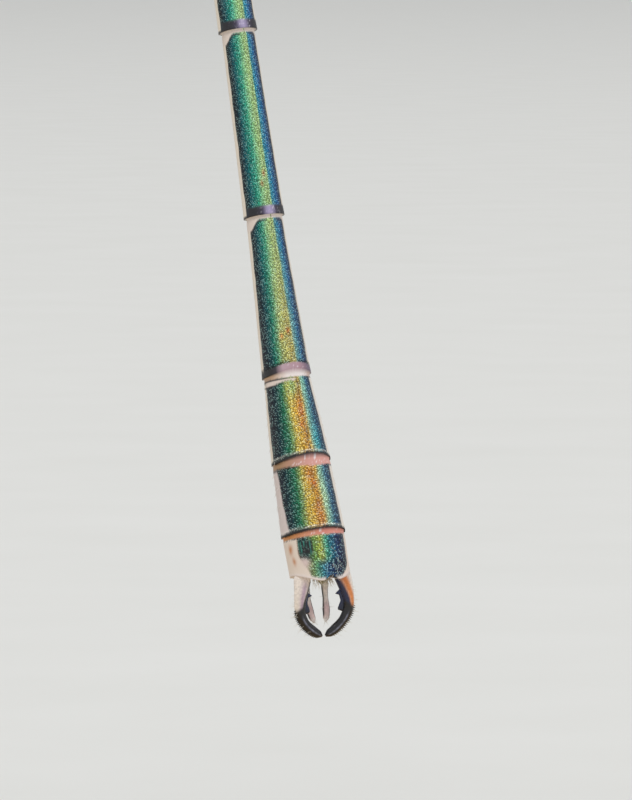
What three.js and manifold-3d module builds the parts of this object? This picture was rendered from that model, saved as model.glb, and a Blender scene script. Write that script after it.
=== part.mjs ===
// A male emerald damselfly at life size, clinging to a leaning rush stem with its tail hanging free.
// The stem is held by one rod on a flat base. Millimetres, +Z up, origin in the middle of the underside of
// the base. The insect's back faces -Y, its left side is -X, and its head is up.
import * as THREE from "three";
import Module from "manifold-3d";
import { mergeVertices } from "three/addons/utils/BufferGeometryUtils.js";

const wasm = await Module();
wasm.setup();

const { Vector3 } = THREE;
const degrees = THREE.MathUtils.degToRad;

// Gap between pieces that touch on the real insect
const GAP = 0.3;

// The stand
const BASE_WIDTH = 38;
const BASE_DEPTH = 27;
const BASE_HEIGHT = 3;
const BASE_CORNER = 5;
const BASE_CHAMFER = 0.5;
const TAIL_CLEARANCE = 7;
const ROD_RADIUS = 0.8;

// The rush stem, and the place on it that the insect holds, seen from the waist
const STEM_RADIUS = 1.0;
const STEM_TAPER = 0.06;
const STEM_LEAN = degrees(16);
const STEM_BEHIND_WAIST = 6.0;
const GRIP_ABOVE_WAIST = 2.5;
const STEM_ABOVE_GRIP = 9.5;
const STEM_BELOW_GRIP = 21;

// The insect's waist, where the abdomen meets the thorax, and how far its body leans to the side
const WAIST_FORWARD = 3;
const BODY_LEAN = degrees(3.5);

// Abdomen segments: length, radius at the front, in the middle and at the rear, and the angle between
// the segment and a plumb line. The last three also turn a little to the insect's right.
const ABDOMEN = [
  { length: 0.95, front: 0.64, middle: 0.62, rear: 0.58, tilt: 24 },
  { length: 2.1, front: 0.55, middle: 0.54, rear: 0.47, tilt: 22 },
  { length: 4.3, front: 0.43, middle: 0.39, rear: 0.42, tilt: 19 },
  { length: 4.7, front: 0.38, middle: 0.37, rear: 0.42, tilt: 16.5 },
  { length: 4.5, front: 0.37, middle: 0.38, rear: 0.42, tilt: 14.5 },
  { length: 4.1, front: 0.36, middle: 0.4, rear: 0.44, tilt: 13 },
  { length: 3.5, front: 0.39, middle: 0.46, rear: 0.53, tilt: 13 },
  { length: 1.88, front: 0.495, middle: 0.58, rear: 0.635, tilt: 13 },
  { length: 1.58, front: 0.62, middle: 0.655, rear: 0.69, tilt: 13 },
  { length: 0.86, front: 0.665, middle: 0.655, rear: 0.645, tilt: 13 },
];
const VEER_FROM = 8;
const TAIL_VEER = degrees(1.6);
const SEGMENT_SIDES = 18;
const TAIL_NOTCH = 0.22;
const KEEL = { wide: 0.24, deep: 0.26, lengthShare: 0.32, outShare: 0.8 };

// The forceps swing a little to the insect's left. Each arm is given by its distance out from the middle
// and back from the last segment, and by its radius.
const FORCEPS_SWING = degrees(2);
const CERCUS_LINE = [
  [0.44, 0.1],
  [0.45, 0.25],
  [0.53, 0.55],
  [0.53, 0.8],
  [0.43, 1.02],
  [0.27, 1.2],
];
const CERCUS_RADII = [0.26, 0.25, 0.24, 0.1];
const CERCUS_ABOVE_AXIS = 0.34;
const PARAPROCT_START = 0.05;
const PARAPROCT_LENGTH = 0.9;
const PARAPROCT_RADII = [0.25, 0.22, 0.12];
const PARAPROCT_APART = 0.4;
const PARAPROCT_BELOW_AXIS = 0.42;
const PARAPROCT_CONVERGE = 0.06;

// Thorax stations from the waist forward: half width, height above and below the axis of the abdomen,
// and how sharply the back is pinched into its middle ridge
const THORAX_TILT = degrees(27);
const THORAX = [
  { along: 0.18, half: 0.58, above: 0.6, below: 0.6, pinch: 1.0 },
  { along: 0.5, half: 0.86, above: 1.0, below: 0.85, pinch: 0.95 },
  { along: 1.5, half: 1.08, above: 1.38, below: 1.15, pinch: 0.9 },
  { along: 2.6, half: 1.2, above: 1.55, below: 1.42, pinch: 1.05 },
  { along: 3.6, half: 1.18, above: 1.3, below: 1.42, pinch: 1.2 },
  { along: 4.4, half: 0.98, above: 0.92, below: 1.15, pinch: 1.2 },
  { along: 4.9, half: 0.62, above: 0.55, below: 0.72, pinch: 1.0 },
];
const PROTHORAX = [
  { along: 5.2, half: 0.58, above: 0.5, below: 0.55, pinch: 0.9 },
  { along: 5.5, half: 0.72, above: 0.66, below: 0.7, pinch: 0.9 },
  { along: 5.9, half: 0.66, above: 0.62, below: 0.62, pinch: 0.9 },
  { along: 6.15, half: 0.42, above: 0.42, below: 0.45, pinch: 1.0 },
  { along: 6.3, half: 0.3, above: 0.3, below: 0.32, pinch: 1.0 },
];

// The head
const HEAD_ALONG = 7.15;
const HEAD_BELOW_AXIS = 0.1;
const HEAD_NOD = degrees(12);
const EYE_RADII = new Vector3(0.78, 0.98, 0.84);
const EYE_CENTRE = { out: 1.66, below: 0.02, along: -0.05 };
const SKULL = { radii: new Vector3(1.62, 0.78, 0.62), centre: new Vector3() };
const FACE = { radii: new Vector3(0.86, 0.62, 0.5), centre: new Vector3(0, 0.1, 0.42) };
const CROWN = { radii: new Vector3(0.62, 0.26, 0.36), centre: new Vector3(0, -0.66, 0.12) };
const UPPER_LIP = { radii: new Vector3(0.66, 0.5, 0.5), centre: new Vector3(0, 0.78, 0.5) };
const LOWER_LIP = { radii: new Vector3(0.5, 0.36, 0.34), centre: new Vector3(0, 1.02, 0.12) };
const ANTENNA_FOOT = { out: 0.5, above: 0.62, along: 0.98 };
const ANTENNA_WAY = { out: 0.55, above: 0.2, along: 0.85 };
const ANTENNA_DROOP = { out: 0.2, above: 0.1, along: -0.15 };
const ANTENNA_LENGTH = 2.1;
const ANTENNA_BEND = 0.45;
const ANTENNA_RADII = [0.25, 0.2, 0.1, 0.05];

// Legs: where each leaves the thorax, its lengths, and where its foot holds the stem. Up the stem is
// counted from the grip, and round it from the side that faces the insect.
const LEGS = {
  fore: {
    hip: { out: 0.42, below: 1.0, along: 5.55 },
    femur: 2.7,
    tibia: 2.45,
    ankle: { up: 3.6, round: 62 },
    toe: { up: 4.1, round: 105 },
    knee: { out: 1, below: 0, along: -0.42 },
  },
  mid: {
    hip: { out: 0.52, below: 1.62, along: 4.0 },
    femur: 3.3,
    tibia: 3.0,
    ankle: { up: 0.2, round: 60 },
    toe: { up: 0.1, round: 115 },
    knee: { out: 1, below: -0.15, along: -0.12 },
  },
  hind: {
    hip: { out: 0.55, below: 1.62, along: 2.85 },
    femur: 4.3,
    tibia: 4.0,
    ankle: { up: -3.8, round: 55 },
    toe: { up: -4.4, round: 105 },
    knee: { out: 1, below: -0.1, along: -0.1 },
  },
};
const FEMUR_RADII = [0.25, 0.3, 0.27, 0.25];
const TIBIA_RADII = [0.25, 0.26, 0.25, 0.24];
const TARSUS_RADII = [0.25, 0.24, 0.15];
// Shares of the way from ankle to toe that the foot passes, starting a little before the ankle
const FOOT_SHARES = [-0.3, 0, 0.35, 0.7, 1];
// How far behind the hip's middle the thigh starts
const THIGH_START = 0.1;
const LEG_SIDES = 8;
// The lumps on the thorax that carry the legs and the wings
const HIP_RADII = new Vector3(0.3, 0.5, 0.33);
const WING_BASE = { radii: new Vector3(0.42, 0.36, 0.5), inward: 0.36, below: 0.3 };

// Wings: length, the place of the root on the thorax, the angle between wing and abdomen, how far it is
// raised from the level of the back, and how far its front edge is turned up. The blade starts a little way
// off its root.
const WINGS = {
  forewing: { length: 21, root: { out: 0.95, above: 1.62, along: 2.65 }, sweep: 60, rise: 25, turn: 24 },
  hindwing: { length: 20, root: { out: 0.98, above: 1.42, along: 1.25 }, sweep: 46, rise: 7, turn: 20 },
};
const WING_OFF_ROOT = 0.45;
const WING_THICKNESS = 0.5;
const VEIN_HEIGHT = 0.14;
// Front and rear edge of the blade, in millimetres before and behind the span line, along a share of it
const WING_EDGES = [
  { share: 0.0, front: 0.3, rear: 0.3 },
  { share: 0.06, front: 0.36, rear: 0.36 },
  { share: 0.16, front: 0.44, rear: 0.5 },
  { share: 0.26, front: 0.58, rear: 1.0 },
  { share: 0.38, front: 0.72, rear: 1.75 },
  { share: 0.52, front: 0.9, rear: 2.5 },
  { share: 0.66, front: 0.98, rear: 2.95 },
  { share: 0.78, front: 0.86, rear: 2.95 },
  { share: 0.88, front: 0.5, rear: 2.5 },
  { share: 0.95, front: -0.05, rear: 1.85 },
  { share: 0.985, front: -0.6, rear: 1.3 },
];
const WING_TIP = { share: 1.0, behind: 0.95 };
// Main veins: share of the span where each starts and ends, and its place across the blade there, from 0
// at the rear edge to 1 at the front edge
const VEINS = [
  { from: [0.02, 0.7], bend: [0.4, 0.84], to: [0.93, 0.84], width: 0.26 },
  { from: [0.02, 0.3], bend: [0.2, 0.46], to: [0.62, 0.02], width: 0.22 },
  { from: [0.2, 0.6], bend: [0.5, 0.42], to: [0.8, 0.03], width: 0.2 },
  { from: [0.3, 0.64], bend: [0.6, 0.55], to: [0.92, 0.06], width: 0.2 },
  { from: [0.38, 0.74], bend: [0.7, 0.7], to: [0.975, 0.4], width: 0.2 },
];
// The front vein lies a little inside the edge. The nodus is the notch in it, and the stigma the thick cell
// near the tip.
const FRONT_VEIN = { inset: 0.12, width: 0.24, through: [0.01, 0.2, 0.38, 0.6, 0.8, 0.94] };
const NODUS = { from: [0.38, 0.97], to: [0.39, 0.6], width: 0.2 };
const STIGMA = { from: 0.82, to: 0.9, rear: 0.84, front: 0.97 };

const COLOURS = {
  metallicGreen: { color: 0x1f7d5c, roughness: 0.3, metalness: 0.7 },
  cream: { color: 0xe8d9c0, roughness: 0.5, metalness: 0 },
  dark: { color: 0x1b1720, roughness: 0.35, metalness: 0 },
  eye: { color: 0x5f8fae, roughness: 0.25, metalness: 0 },
  leg: { color: 0xcbb59a, roughness: 0.5, metalness: 0 },
  wing: { color: 0xd8dcd2, roughness: 0.2, metalness: 0 },
  rush: { color: 0x7f9a4a, roughness: 0.6, metalness: 0 },
  wood: { color: 0xd9c6a2, roughness: 0.6, metalness: 0 },
  steel: { color: 0xb9bcc0, roughness: 0.3, metalness: 1 },
};

// Solids and meshes

// Turns a closed three.js geometry into a solid, with its faces pointing out
function solidOf(geometry) {
  const bare = geometry.clone();
  bare.deleteAttribute("normal");
  bare.deleteAttribute("uv");
  const merged = mergeVertices(bare, 1e-4);
  const vertProperties = merged.attributes.position.array;
  const build = (triVerts) => new wasm.Manifold(new wasm.Mesh({ numProp: 3, vertProperties, triVerts }));
  const made = build(new Uint32Array(merged.index.array));
  return made.volume() > 0 ? made : build(new Uint32Array(merged.index.array).reverse());
}

// Joins solids and keeps the largest closed surface
function joined(solids) {
  const whole = solids.reduce((sum, next) => sum.add(next));
  return whole.decompose().sort((a, b) => b.volume() - a.volume())[0];
}

function geometryOf(solid) {
  const { vertProperties, triVerts, numProp } = solid.getMesh();
  const count = vertProperties.length / numProp;
  const position = new Float32Array(count * 3);
  for (let i = 0; i < count; i++) {
    position.set(vertProperties.subarray(i * numProp, i * numProp + 3), i * 3);
  }
  const geometry = new THREE.BufferGeometry();
  geometry.setAttribute("position", new THREE.BufferAttribute(position, 3));
  geometry.setIndex(new THREE.BufferAttribute(triVerts, 1));
  geometry.computeVertexNormals();
  return geometry;
}

const grown = (radii, by) => radii.clone().addScalar(by);

function meshOf(name, solid, colour) {
  const mesh = new THREE.Mesh(geometryOf(solid), new THREE.MeshStandardMaterial(colour));
  mesh.name = name;
  return mesh;
}

function ellipsoid(radii, centre, across = 18, down = 12) {
  const geometry = new THREE.SphereGeometry(1, across, down);
  geometry.scale(radii.x, radii.y, radii.z);
  return solidOf(geometry.translate(centre.x, centre.y, centre.z));
}

// The value of a named size along a list of stations, eased between them
function between(stations, place, key, value) {
  const last = stations.length - 1;
  let i = 0;
  while (i < last - 1 && value > stations[i + 1][place]) i++;
  const [a, b] = [stations[i], stations[i + 1]];
  const slope = (p, q) => (stations[q][key] - stations[p][key]) / (stations[q][place] - stations[p][place]);
  const slopeA = i > 0 ? (slope(i - 1, i) + slope(i, i + 1)) / 2 : slope(i, i + 1);
  const slopeB = i + 1 < last ? (slope(i, i + 1) + slope(i + 1, i + 2)) / 2 : slope(i, i + 1);
  const span = b[place] - a[place];
  const t = THREE.MathUtils.clamp((value - a[place]) / span, 0, 1);
  const [t2, t3] = [t * t, t * t * t];
  return (
    a[key] * (2 * t3 - 3 * t2 + 1) +
    slopeA * span * (t3 - 2 * t2 + t) +
    b[key] * (3 * t2 - 2 * t3) +
    slopeB * span * (t3 - t2)
  );
}

// A closed cylinder whose wall is reshaped: place(angle, share) gives each wall point, and the middle of
// each end is the middle of its rim
function reshapedCylinder(sides, steps, place) {
  const geometry = new THREE.CylinderGeometry(1, 1, 1, sides, steps);
  const position = geometry.attributes.position;
  for (let i = 0; i < position.count; i++) {
    const [x, y, z] = [position.getX(i), position.getY(i), position.getZ(i)];
    const share = y + 0.5;
    const point = new Vector3();
    if (Math.hypot(x, z) > 0.5) {
      point.copy(place(Math.atan2(x, z), share));
    } else {
      for (let k = 0; k < sides; k++) point.add(place((2 * Math.PI * k) / sides, share));
      point.divideScalar(sides);
    }
    position.setXYZ(i, point.x, point.y, point.z);
  }
  return solidOf(geometry);
}

// A body of egg-shaped sections along +Z, with its back towards -Y
function sectionedBody(stations, sides, steps) {
  const [first, last] = [stations[0].along, stations[stations.length - 1].along];
  return reshapedCylinder(sides, steps, (angle, share) => {
    const along = first + share * (last - first);
    const size = (key) => between(stations, "along", key, along);
    const [s, c] = [Math.sin(angle), Math.cos(angle)];
    const half = size("half") * Math.sign(s) * Math.abs(s) ** (c > 0 ? size("pinch") : 0.85);
    const height = c > 0 ? size("above") * c : size("below") * c;
    return new Vector3(half, -height, along);
  });
}

// A tube of changing radius along a curve, with flat ends
function tubeAlong(curve, radii, sides, steps) {
  const frames = curve.computeFrenetFrames(steps, false);
  const sizes = radii.map((radius, i) => ({ at: i / (radii.length - 1), radius }));
  return reshapedCylinder(sides, steps, (angle, share) => {
    const step = Math.round(share * steps);
    const radius = between(sizes, "at", "radius", share);
    return curve
      .getPointAt(share)
      .addScaledVector(frames.normals[step], Math.cos(angle) * radius)
      .addScaledVector(frames.binormals[step], Math.sin(angle) * radius);
  });
}

// Frames that the pieces are placed in

const root = new THREE.Group();
const insect = new THREE.Group();
const thoraxFrame = new THREE.Group();
const headFrame = new THREE.Group();

// How far the whole tail hangs below the waist, which sets the height of the waist over the base
const tailDrop = ABDOMEN.reduce((sum, { length, tilt }) => sum + length * Math.cos(degrees(tilt)), 0);
const forcepsDrop = CERCUS_LINE[CERCUS_LINE.length - 1][1];
const WAIST_HEIGHT = BASE_HEIGHT + TAIL_CLEARANCE + (tailDrop + forcepsDrop) * Math.cos(BODY_LEAN);

insect.position.set(0, WAIST_FORWARD, WAIST_HEIGHT);
insect.rotation.y = -BODY_LEAN;
thoraxFrame.rotation.x = -THORAX_TILT;
headFrame.position.set(0, HEAD_BELOW_AXIS, HEAD_ALONG);
headFrame.rotation.x = -HEAD_NOD;
root.add(insect);
insect.add(thoraxFrame);
thoraxFrame.add(headFrame);
root.updateMatrixWorld(true);

// A point of the stem's surface, or clear of it, up the stem from the grip and round it to one side
const stemAxis = new Vector3(Math.sin(STEM_LEAN), 0, Math.cos(STEM_LEAN));
const gripPoint = new Vector3(0, WAIST_FORWARD + STEM_BEHIND_WAIST, WAIST_HEIGHT + GRIP_ABOVE_WAIST);
function besideStem(up, round, distance) {
  const outward = new Vector3(0, -1, 0).applyAxisAngle(stemAxis, round);
  return gripPoint.clone().addScaledVector(stemAxis, up).addScaledVector(outward, distance);
}

// Abdomen

function segmentSolid({ length, front, middle, rear }) {
  const half = GAP / 2;
  const rim = Math.min(0.12, length / 8);
  const profile = [
    [0, -half],
    [front * 0.9, -half],
    [front, -half - rim],
    [(front + middle) / 2, -length * 0.3],
    [middle, -length * 0.55],
    [rear, -length + half + rim],
    [rear * 0.94, -length + half],
    [0, -length + half],
  ].map(([radius, height]) => new THREE.Vector2(radius, height));
  return solidOf(new THREE.LatheGeometry(profile, SEGMENT_SIDES).rotateX(Math.PI / 2));
}

// The last segment has a small notch in the middle of the rear edge of its back
function notched(solid, { length, rear }) {
  const wedge = new THREE.CylinderGeometry(TAIL_NOTCH, TAIL_NOTCH, rear, 3).rotateX(Math.PI / 2);
  wedge.rotateX(Math.PI / 2).translate(0, -rear, -length + GAP / 2);
  return solid.subtract(solidOf(wedge));
}

// The second segment of a male has a low keel under it
function keeled(solid, { length, middle }) {
  const radii = new Vector3(KEEL.wide, KEEL.deep, length * KEEL.lengthShare);
  const centre = new Vector3(0, middle * KEEL.outShare, -length / 2);
  return joined([solid, ellipsoid(radii, centre, 12, 8)]);
}

const joint = new Vector3();
const forcepsFrame = new THREE.Group();
ABDOMEN.forEach((segment, i) => {
  const tilt = degrees(segment.tilt);
  const veer = i + 1 < VEER_FROM ? 0 : TAIL_VEER;
  let solid = segmentSolid(segment);
  if (i === 1) solid = keeled(solid, segment);
  if (i === ABDOMEN.length - 1) solid = notched(solid, segment);
  const mesh = meshOf(`abdomen_${String(i + 1).padStart(2, "0")}`, solid, COLOURS.metallicGreen);
  mesh.position.copy(joint);
  mesh.rotation.set(-tilt, -veer, 0);
  insect.add(mesh);
  joint.add(new Vector3(0, 0, -segment.length).applyEuler(mesh.rotation));
  forcepsFrame.rotation.set(-tilt, FORCEPS_SWING - veer, 0);
});
forcepsFrame.position.copy(joint);
insect.add(forcepsFrame);

// Forceps and the two plates between them

function cercusSolid(side) {
  const place = ([out, back]) => new Vector3(side * out, -CERCUS_ABOVE_AXIS, -back - GAP / 2);
  const points = CERCUS_LINE.map(place);
  return tubeAlong(new THREE.CatmullRomCurve3(points), CERCUS_RADII, 10, 12);
}

function paraproctSolid(side) {
  const start = new Vector3(side * PARAPROCT_APART, PARAPROCT_BELOW_AXIS, -GAP / 2 - PARAPROCT_START);
  const end = start.clone().add(new Vector3(-side * PARAPROCT_CONVERGE, 0, -PARAPROCT_LENGTH));
  return tubeAlong(new THREE.LineCurve3(start, end), PARAPROCT_RADII, 8, 4);
}

const SIDES = { left: -1, right: 1 };
for (const [word, side] of Object.entries(SIDES)) {
  forcepsFrame.add(meshOf(`cercus_${word}`, cercusSolid(side), COLOURS.dark));
  forcepsFrame.add(meshOf(`paraproct_${word}`, paraproctSolid(side), COLOURS.cream));
}

// Thorax, with the lumps that carry the legs and wings

function hipOf(leg, side) {
  const { out, below, along } = LEGS[leg].hip;
  return new Vector3(side * out, below, along);
}

function wingRootOf(wing, side) {
  const { out, above, along } = WINGS[wing].root;
  return new Vector3(side * out, -above, along);
}

// The hip that a leg grows from; grownBy widens it to cut the leg clear of it
function hipStump(leg, side, grownBy = 0) {
  return ellipsoid(grown(HIP_RADII, grownBy), hipOf(leg, side).add(new Vector3(0, -HIP_RADII.y, 0)), 12, 8);
}

function wingStump(wing, side) {
  const inward = new Vector3(-side * WING_BASE.inward, WING_BASE.below, 0);
  return ellipsoid(WING_BASE.radii, wingRootOf(wing, side).add(inward), 12, 8);
}

function thoraxSolid() {
  const pieces = [sectionedBody(THORAX, 22, 13)];
  for (const side of Object.values(SIDES)) {
    for (const leg of ["mid", "hind"]) pieces.push(hipStump(leg, side));
    for (const wing of ["forewing", "hindwing"]) pieces.push(wingStump(wing, side));
  }
  return joined(pieces);
}

function prothoraxSolid() {
  const pieces = [sectionedBody(PROTHORAX, 18, 7)];
  for (const side of Object.values(SIDES)) {
    pieces.push(hipStump("fore", side));
  }
  return joined(pieces);
}

thoraxFrame.add(meshOf("thorax", thoraxSolid(), COLOURS.metallicGreen));
thoraxFrame.add(meshOf("prothorax", prothoraxSolid(), COLOURS.metallicGreen));

// Head: the skull between the eyes, the face, and the mouth under it

const eyeCentre = (side) => new Vector3(side * EYE_CENTRE.out, EYE_CENTRE.below, EYE_CENTRE.along);
const lump = ({ radii, centre }, grownBy = 0) => ellipsoid(grown(radii, grownBy), centre, 16, 10);

function skullSolid() {
  const skull = joined([ellipsoid(SKULL.radii, SKULL.centre), lump(FACE), lump(CROWN)]);
  const carved = Object.values(SIDES).reduce(
    (rest, side) => rest.subtract(ellipsoid(grown(EYE_RADII, GAP), eyeCentre(side))),
    skull,
  );
  return joined([carved]);
}

// Upper lip, jaws and lower lip as one piece, parted from the face
function mouthSolid() {
  const mouth = joined([lump(UPPER_LIP), lump(LOWER_LIP)]);
  return joined([mouth.subtract(lump(FACE, GAP)).subtract(lump(SKULL, GAP))]);
}

function antennaSolid(side) {
  const sided = ({ out, above, along }) => new Vector3(side * out, -above, along);
  const foot = sided(ANTENNA_FOOT);
  const way = sided(ANTENNA_WAY).normalize();
  const bend = foot.clone().addScaledVector(way, ANTENNA_LENGTH * ANTENNA_BEND);
  const tip = foot.clone().addScaledVector(way, ANTENNA_LENGTH).add(sided(ANTENNA_DROOP));
  return tubeAlong(new THREE.QuadraticBezierCurve3(foot, bend, tip), ANTENNA_RADII, 8, 8);
}

headFrame.add(meshOf("head", skullSolid(), COLOURS.metallicGreen));
headFrame.add(meshOf("mouthparts", mouthSolid(), COLOURS.cream));
for (const [word, side] of Object.entries(SIDES)) {
  headFrame.add(meshOf(`eye_${word}`, ellipsoid(EYE_RADII, eyeCentre(side), 20, 14), COLOURS.eye));
  headFrame.add(meshOf(`antenna_${word}`, antennaSolid(side), COLOURS.dark));
}

// Legs: femur and tibia bend at the knee, and the tarsus lies round the stem

// The knee of two straight lengths between hip and ankle, on the side that the pole points to
function kneePoint(hip, ankle, upper, lower, pole) {
  const way = ankle.clone().sub(hip);
  const reach = way.length();
  way.normalize();
  const along = (upper * upper - lower * lower + reach * reach) / (2 * reach);
  const off = Math.sqrt(Math.max(upper * upper - along * along, 0));
  const outward = pole.clone().addScaledVector(way, -pole.dot(way)).normalize();
  return hip.clone().addScaledVector(way, along).addScaledVector(outward, off);
}

// A straight length of leg, run on past both ends so that the joints can be cut through it
function straightRod(start, end, radii) {
  const over = end.clone().sub(start).setLength(2.5 * radii[0]);
  const line = new THREE.LineCurve3(start.clone().sub(over), end.clone().add(over));
  return tubeAlong(line, radii, LEG_SIDES, 5);
}

// Cuts the lengths on both sides of a joint square to the middle of its bend, with a gap between them
function parted(upper, lower, point, wayIn, wayOut) {
  const normal = wayIn.clone().normalize().add(wayOut.clone().normalize()).normalize();
  const level = point.dot(normal);
  const back = normal.clone().negate();
  return [
    upper.trimByPlane(back.toArray(), -level + GAP / 2),
    lower.trimByPlane(normal.toArray(), level + GAP / 2),
  ];
}

function legMeshes(leg, word) {
  const side = SIDES[word];
  const { femur, tibia, ankle, toe, knee } = LEGS[leg];
  const clearance = STEM_RADIUS + GAP + TARSUS_RADII[0];
  const footStep = (share) =>
    thoraxFrame.worldToLocal(
      besideStem(
        THREE.MathUtils.lerp(ankle.up, toe.up, share),
        side * degrees(THREE.MathUtils.lerp(ankle.round, toe.round, share)),
        clearance,
      ),
    );
  const hip = hipOf(leg, side);
  const heel = footStep(0);
  const pole = new Vector3(side * knee.out, knee.below, knee.along);
  const bend = kneePoint(hip, heel, femur, tibia, pole);
  const foot = new THREE.CatmullRomCurve3(FOOT_SHARES.map(footStep));
  let upper = straightRod(hip, bend, FEMUR_RADII).subtract(hipStump(leg, side, GAP));
  let lower = straightRod(bend, heel, TIBIA_RADII);
  let last = tubeAlong(foot, TARSUS_RADII, LEG_SIDES, 6);
  const [thigh, shin] = [bend.clone().sub(hip), heel.clone().sub(bend)];
  const alongThigh = thigh.clone().normalize();
  upper = upper.trimByPlane(alongThigh.toArray(), hip.dot(alongThigh) - THIGH_START);
  [upper, lower] = parted(upper, lower, bend, thigh, shin);
  [lower, last] = parted(lower, last, heel, shin, footStep(0.3).sub(heel));
  return [
    meshOf(`${leg}_femur_${word}`, joined([upper]), COLOURS.leg),
    meshOf(`${leg}_tibia_${word}`, joined([lower]), COLOURS.leg),
    meshOf(`${leg}_tarsus_${word}`, joined([last]), COLOURS.leg),
  ];
}

for (const leg of Object.keys(LEGS)) {
  for (const word of Object.keys(SIDES)) thoraxFrame.add(...legMeshes(leg, word));
}

// Wings: a flat blade with the main veins standing a little proud of it on both faces

function flatPiece(points, thickness) {
  const shape = new THREE.Shape(points);
  const geometry = new THREE.ExtrudeGeometry(shape, { depth: thickness, bevelEnabled: false });
  return solidOf(geometry.translate(0, 0, -thickness / 2));
}

const edgeAt = (share, key) => between(WING_EDGES, "share", key, share);

// A point of the blade, from 0 at its rear edge to 1 at its front edge
function bladePoint(length, share, across) {
  const [front, rear] = [edgeAt(share, "front"), -edgeAt(share, "rear")];
  return new THREE.Vector2(share * length, THREE.MathUtils.lerp(rear, front, across));
}

function bladeOutline(length) {
  const steps = 15;
  const last = WING_EDGES[WING_EDGES.length - 1].share;
  // The steps close up towards the round tip
  const eased = (i) => Math.sin((i / steps) * (Math.PI / 2)) ** 1.15;
  const shares = Array.from({ length: steps + 1 }, (_, i) => last * eased(i));
  const front = shares.map((share) => bladePoint(length, share, 1));
  const rear = shares.map((share) => bladePoint(length, share, 0)).reverse();
  return [...front, new THREE.Vector2(length * WING_TIP.share, -WING_TIP.behind), ...rear];
}

// A rib of tapering width along a curve of the blade
function ribSolid(points, width, steps = 7) {
  const curve = new THREE.SplineCurve(points);
  const sideOf = (sign) =>
    Array.from({ length: steps + 1 }, (_, i) => {
      const share = i / steps;
      const tangent = curve.getTangent(share);
      const half = (width / 2) * (1 - 0.45 * share) * sign;
      return curve.getPoint(share).add(new THREE.Vector2(-tangent.y * half, tangent.x * half));
    });
  return flatPiece([...sideOf(1), ...sideOf(-1).reverse()], WING_THICKNESS + 2 * VEIN_HEIGHT);
}

function wingSolid(length) {
  const pieces = [flatPiece(bladeOutline(length), WING_THICKNESS)];
  const at = ([share, across]) => bladePoint(length, share, across);
  for (const { from, bend, to, width } of VEINS) pieces.push(ribSolid([at(from), at(bend), at(to)], width));
  const inset = new THREE.Vector2(0, -FRONT_VEIN.inset);
  const frontVein = FRONT_VEIN.through.map((share) => bladePoint(length, share, 1).add(inset));
  pieces.push(ribSolid(frontVein, FRONT_VEIN.width, 9));
  pieces.push(ribSolid([at(NODUS.from), at(NODUS.to)], NODUS.width, 2));
  const stigma = [
    [STIGMA.from, STIGMA.front],
    [STIGMA.to, STIGMA.front],
    [STIGMA.to, STIGMA.rear],
    [STIGMA.from, STIGMA.rear],
  ].map(at);
  pieces.push(flatPiece(stigma, WING_THICKNESS + 2 * VEIN_HEIGHT));
  return joined(pieces);
}

// Places a blade: its span points out and back, and its front edge is turned towards the head and up
function wingMesh(wing, word) {
  const side = SIDES[word];
  const { length, sweep, rise, turn } = WINGS[wing];
  const [s, r, t] = [degrees(sweep), degrees(rise), degrees(turn)];
  const span = new Vector3(side * Math.sin(s) * Math.cos(r), -Math.sin(r), -Math.cos(s) * Math.cos(r));
  const forward = new Vector3(0, 0, 1).addScaledVector(span, -span.z).normalize();
  const upward = new Vector3(0, -1, 0).addScaledVector(span, span.y);
  upward.addScaledVector(forward, -upward.dot(forward)).normalize();
  const chord = forward.multiplyScalar(Math.cos(t)).addScaledVector(upward, Math.sin(t));
  const normal = new Vector3().crossVectors(span, chord);
  const mesh = meshOf(`${wing}_${word}`, wingSolid(length), COLOURS.wing);
  mesh.quaternion.setFromRotationMatrix(new THREE.Matrix4().makeBasis(span, chord, normal));
  mesh.position.copy(wingRootOf(wing, side)).addScaledVector(span, WING_OFF_ROOT);
  return mesh;
}

for (const wing of Object.keys(WINGS)) {
  for (const word of Object.keys(SIDES)) thoraxFrame.add(wingMesh(wing, word));
}

// The rush stem: leaning, cut square at the top and level at the foot

function stemSolid() {
  const foot = besideStem(-STEM_BELOW_GRIP - 2, 0, 0);
  const head = besideStem(STEM_ABOVE_GRIP, 0, 0);
  const radii = [1 + STEM_TAPER, 1, 1 - STEM_TAPER].map((share) => share * STEM_RADIUS);
  const stem = tubeAlong(new THREE.LineCurve3(foot, head), radii, 18, 6);
  const level = besideStem(-STEM_BELOW_GRIP, 0, 0).z;
  const below = new THREE.BoxGeometry(20, 20, 20).translate(foot.x, foot.y, level - 10);
  return stem.subtract(solidOf(below));
}

root.add(meshOf("perch_stem", stemSolid(), COLOURS.rush));

// The stand: a flat base with rounded corners and a chamfered top edge, and one upright rod

function baseSolid() {
  const [w, d, r] = [BASE_WIDTH / 2 - BASE_CHAMFER, BASE_DEPTH / 2 - BASE_CHAMFER, BASE_CORNER];
  const outline = new THREE.Shape();
  outline.absarc(w - r, d - r, r, 0, Math.PI / 2);
  outline.absarc(-w + r, d - r, r, Math.PI / 2, Math.PI);
  outline.absarc(-w + r, -d + r, r, Math.PI, Math.PI * 1.5);
  outline.absarc(w - r, -d + r, r, Math.PI * 1.5, Math.PI * 2);
  const geometry = new THREE.ExtrudeGeometry(outline, {
    depth: BASE_HEIGHT - 2 * BASE_CHAMFER,
    bevelThickness: BASE_CHAMFER,
    bevelSize: BASE_CHAMFER,
    bevelSegments: 1,
    curveSegments: 5,
  });
  return solidOf(geometry.translate(0, 0, BASE_CHAMFER));
}

function rodSolid() {
  const top = besideStem(-STEM_BELOW_GRIP, 0, 0);
  const from = BASE_HEIGHT + GAP;
  const height = top.z - GAP - from;
  const geometry = new THREE.CylinderGeometry(ROD_RADIUS, ROD_RADIUS, height, 18).rotateX(Math.PI / 2);
  return solidOf(geometry.translate(top.x, top.y, from + height / 2));
}

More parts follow.
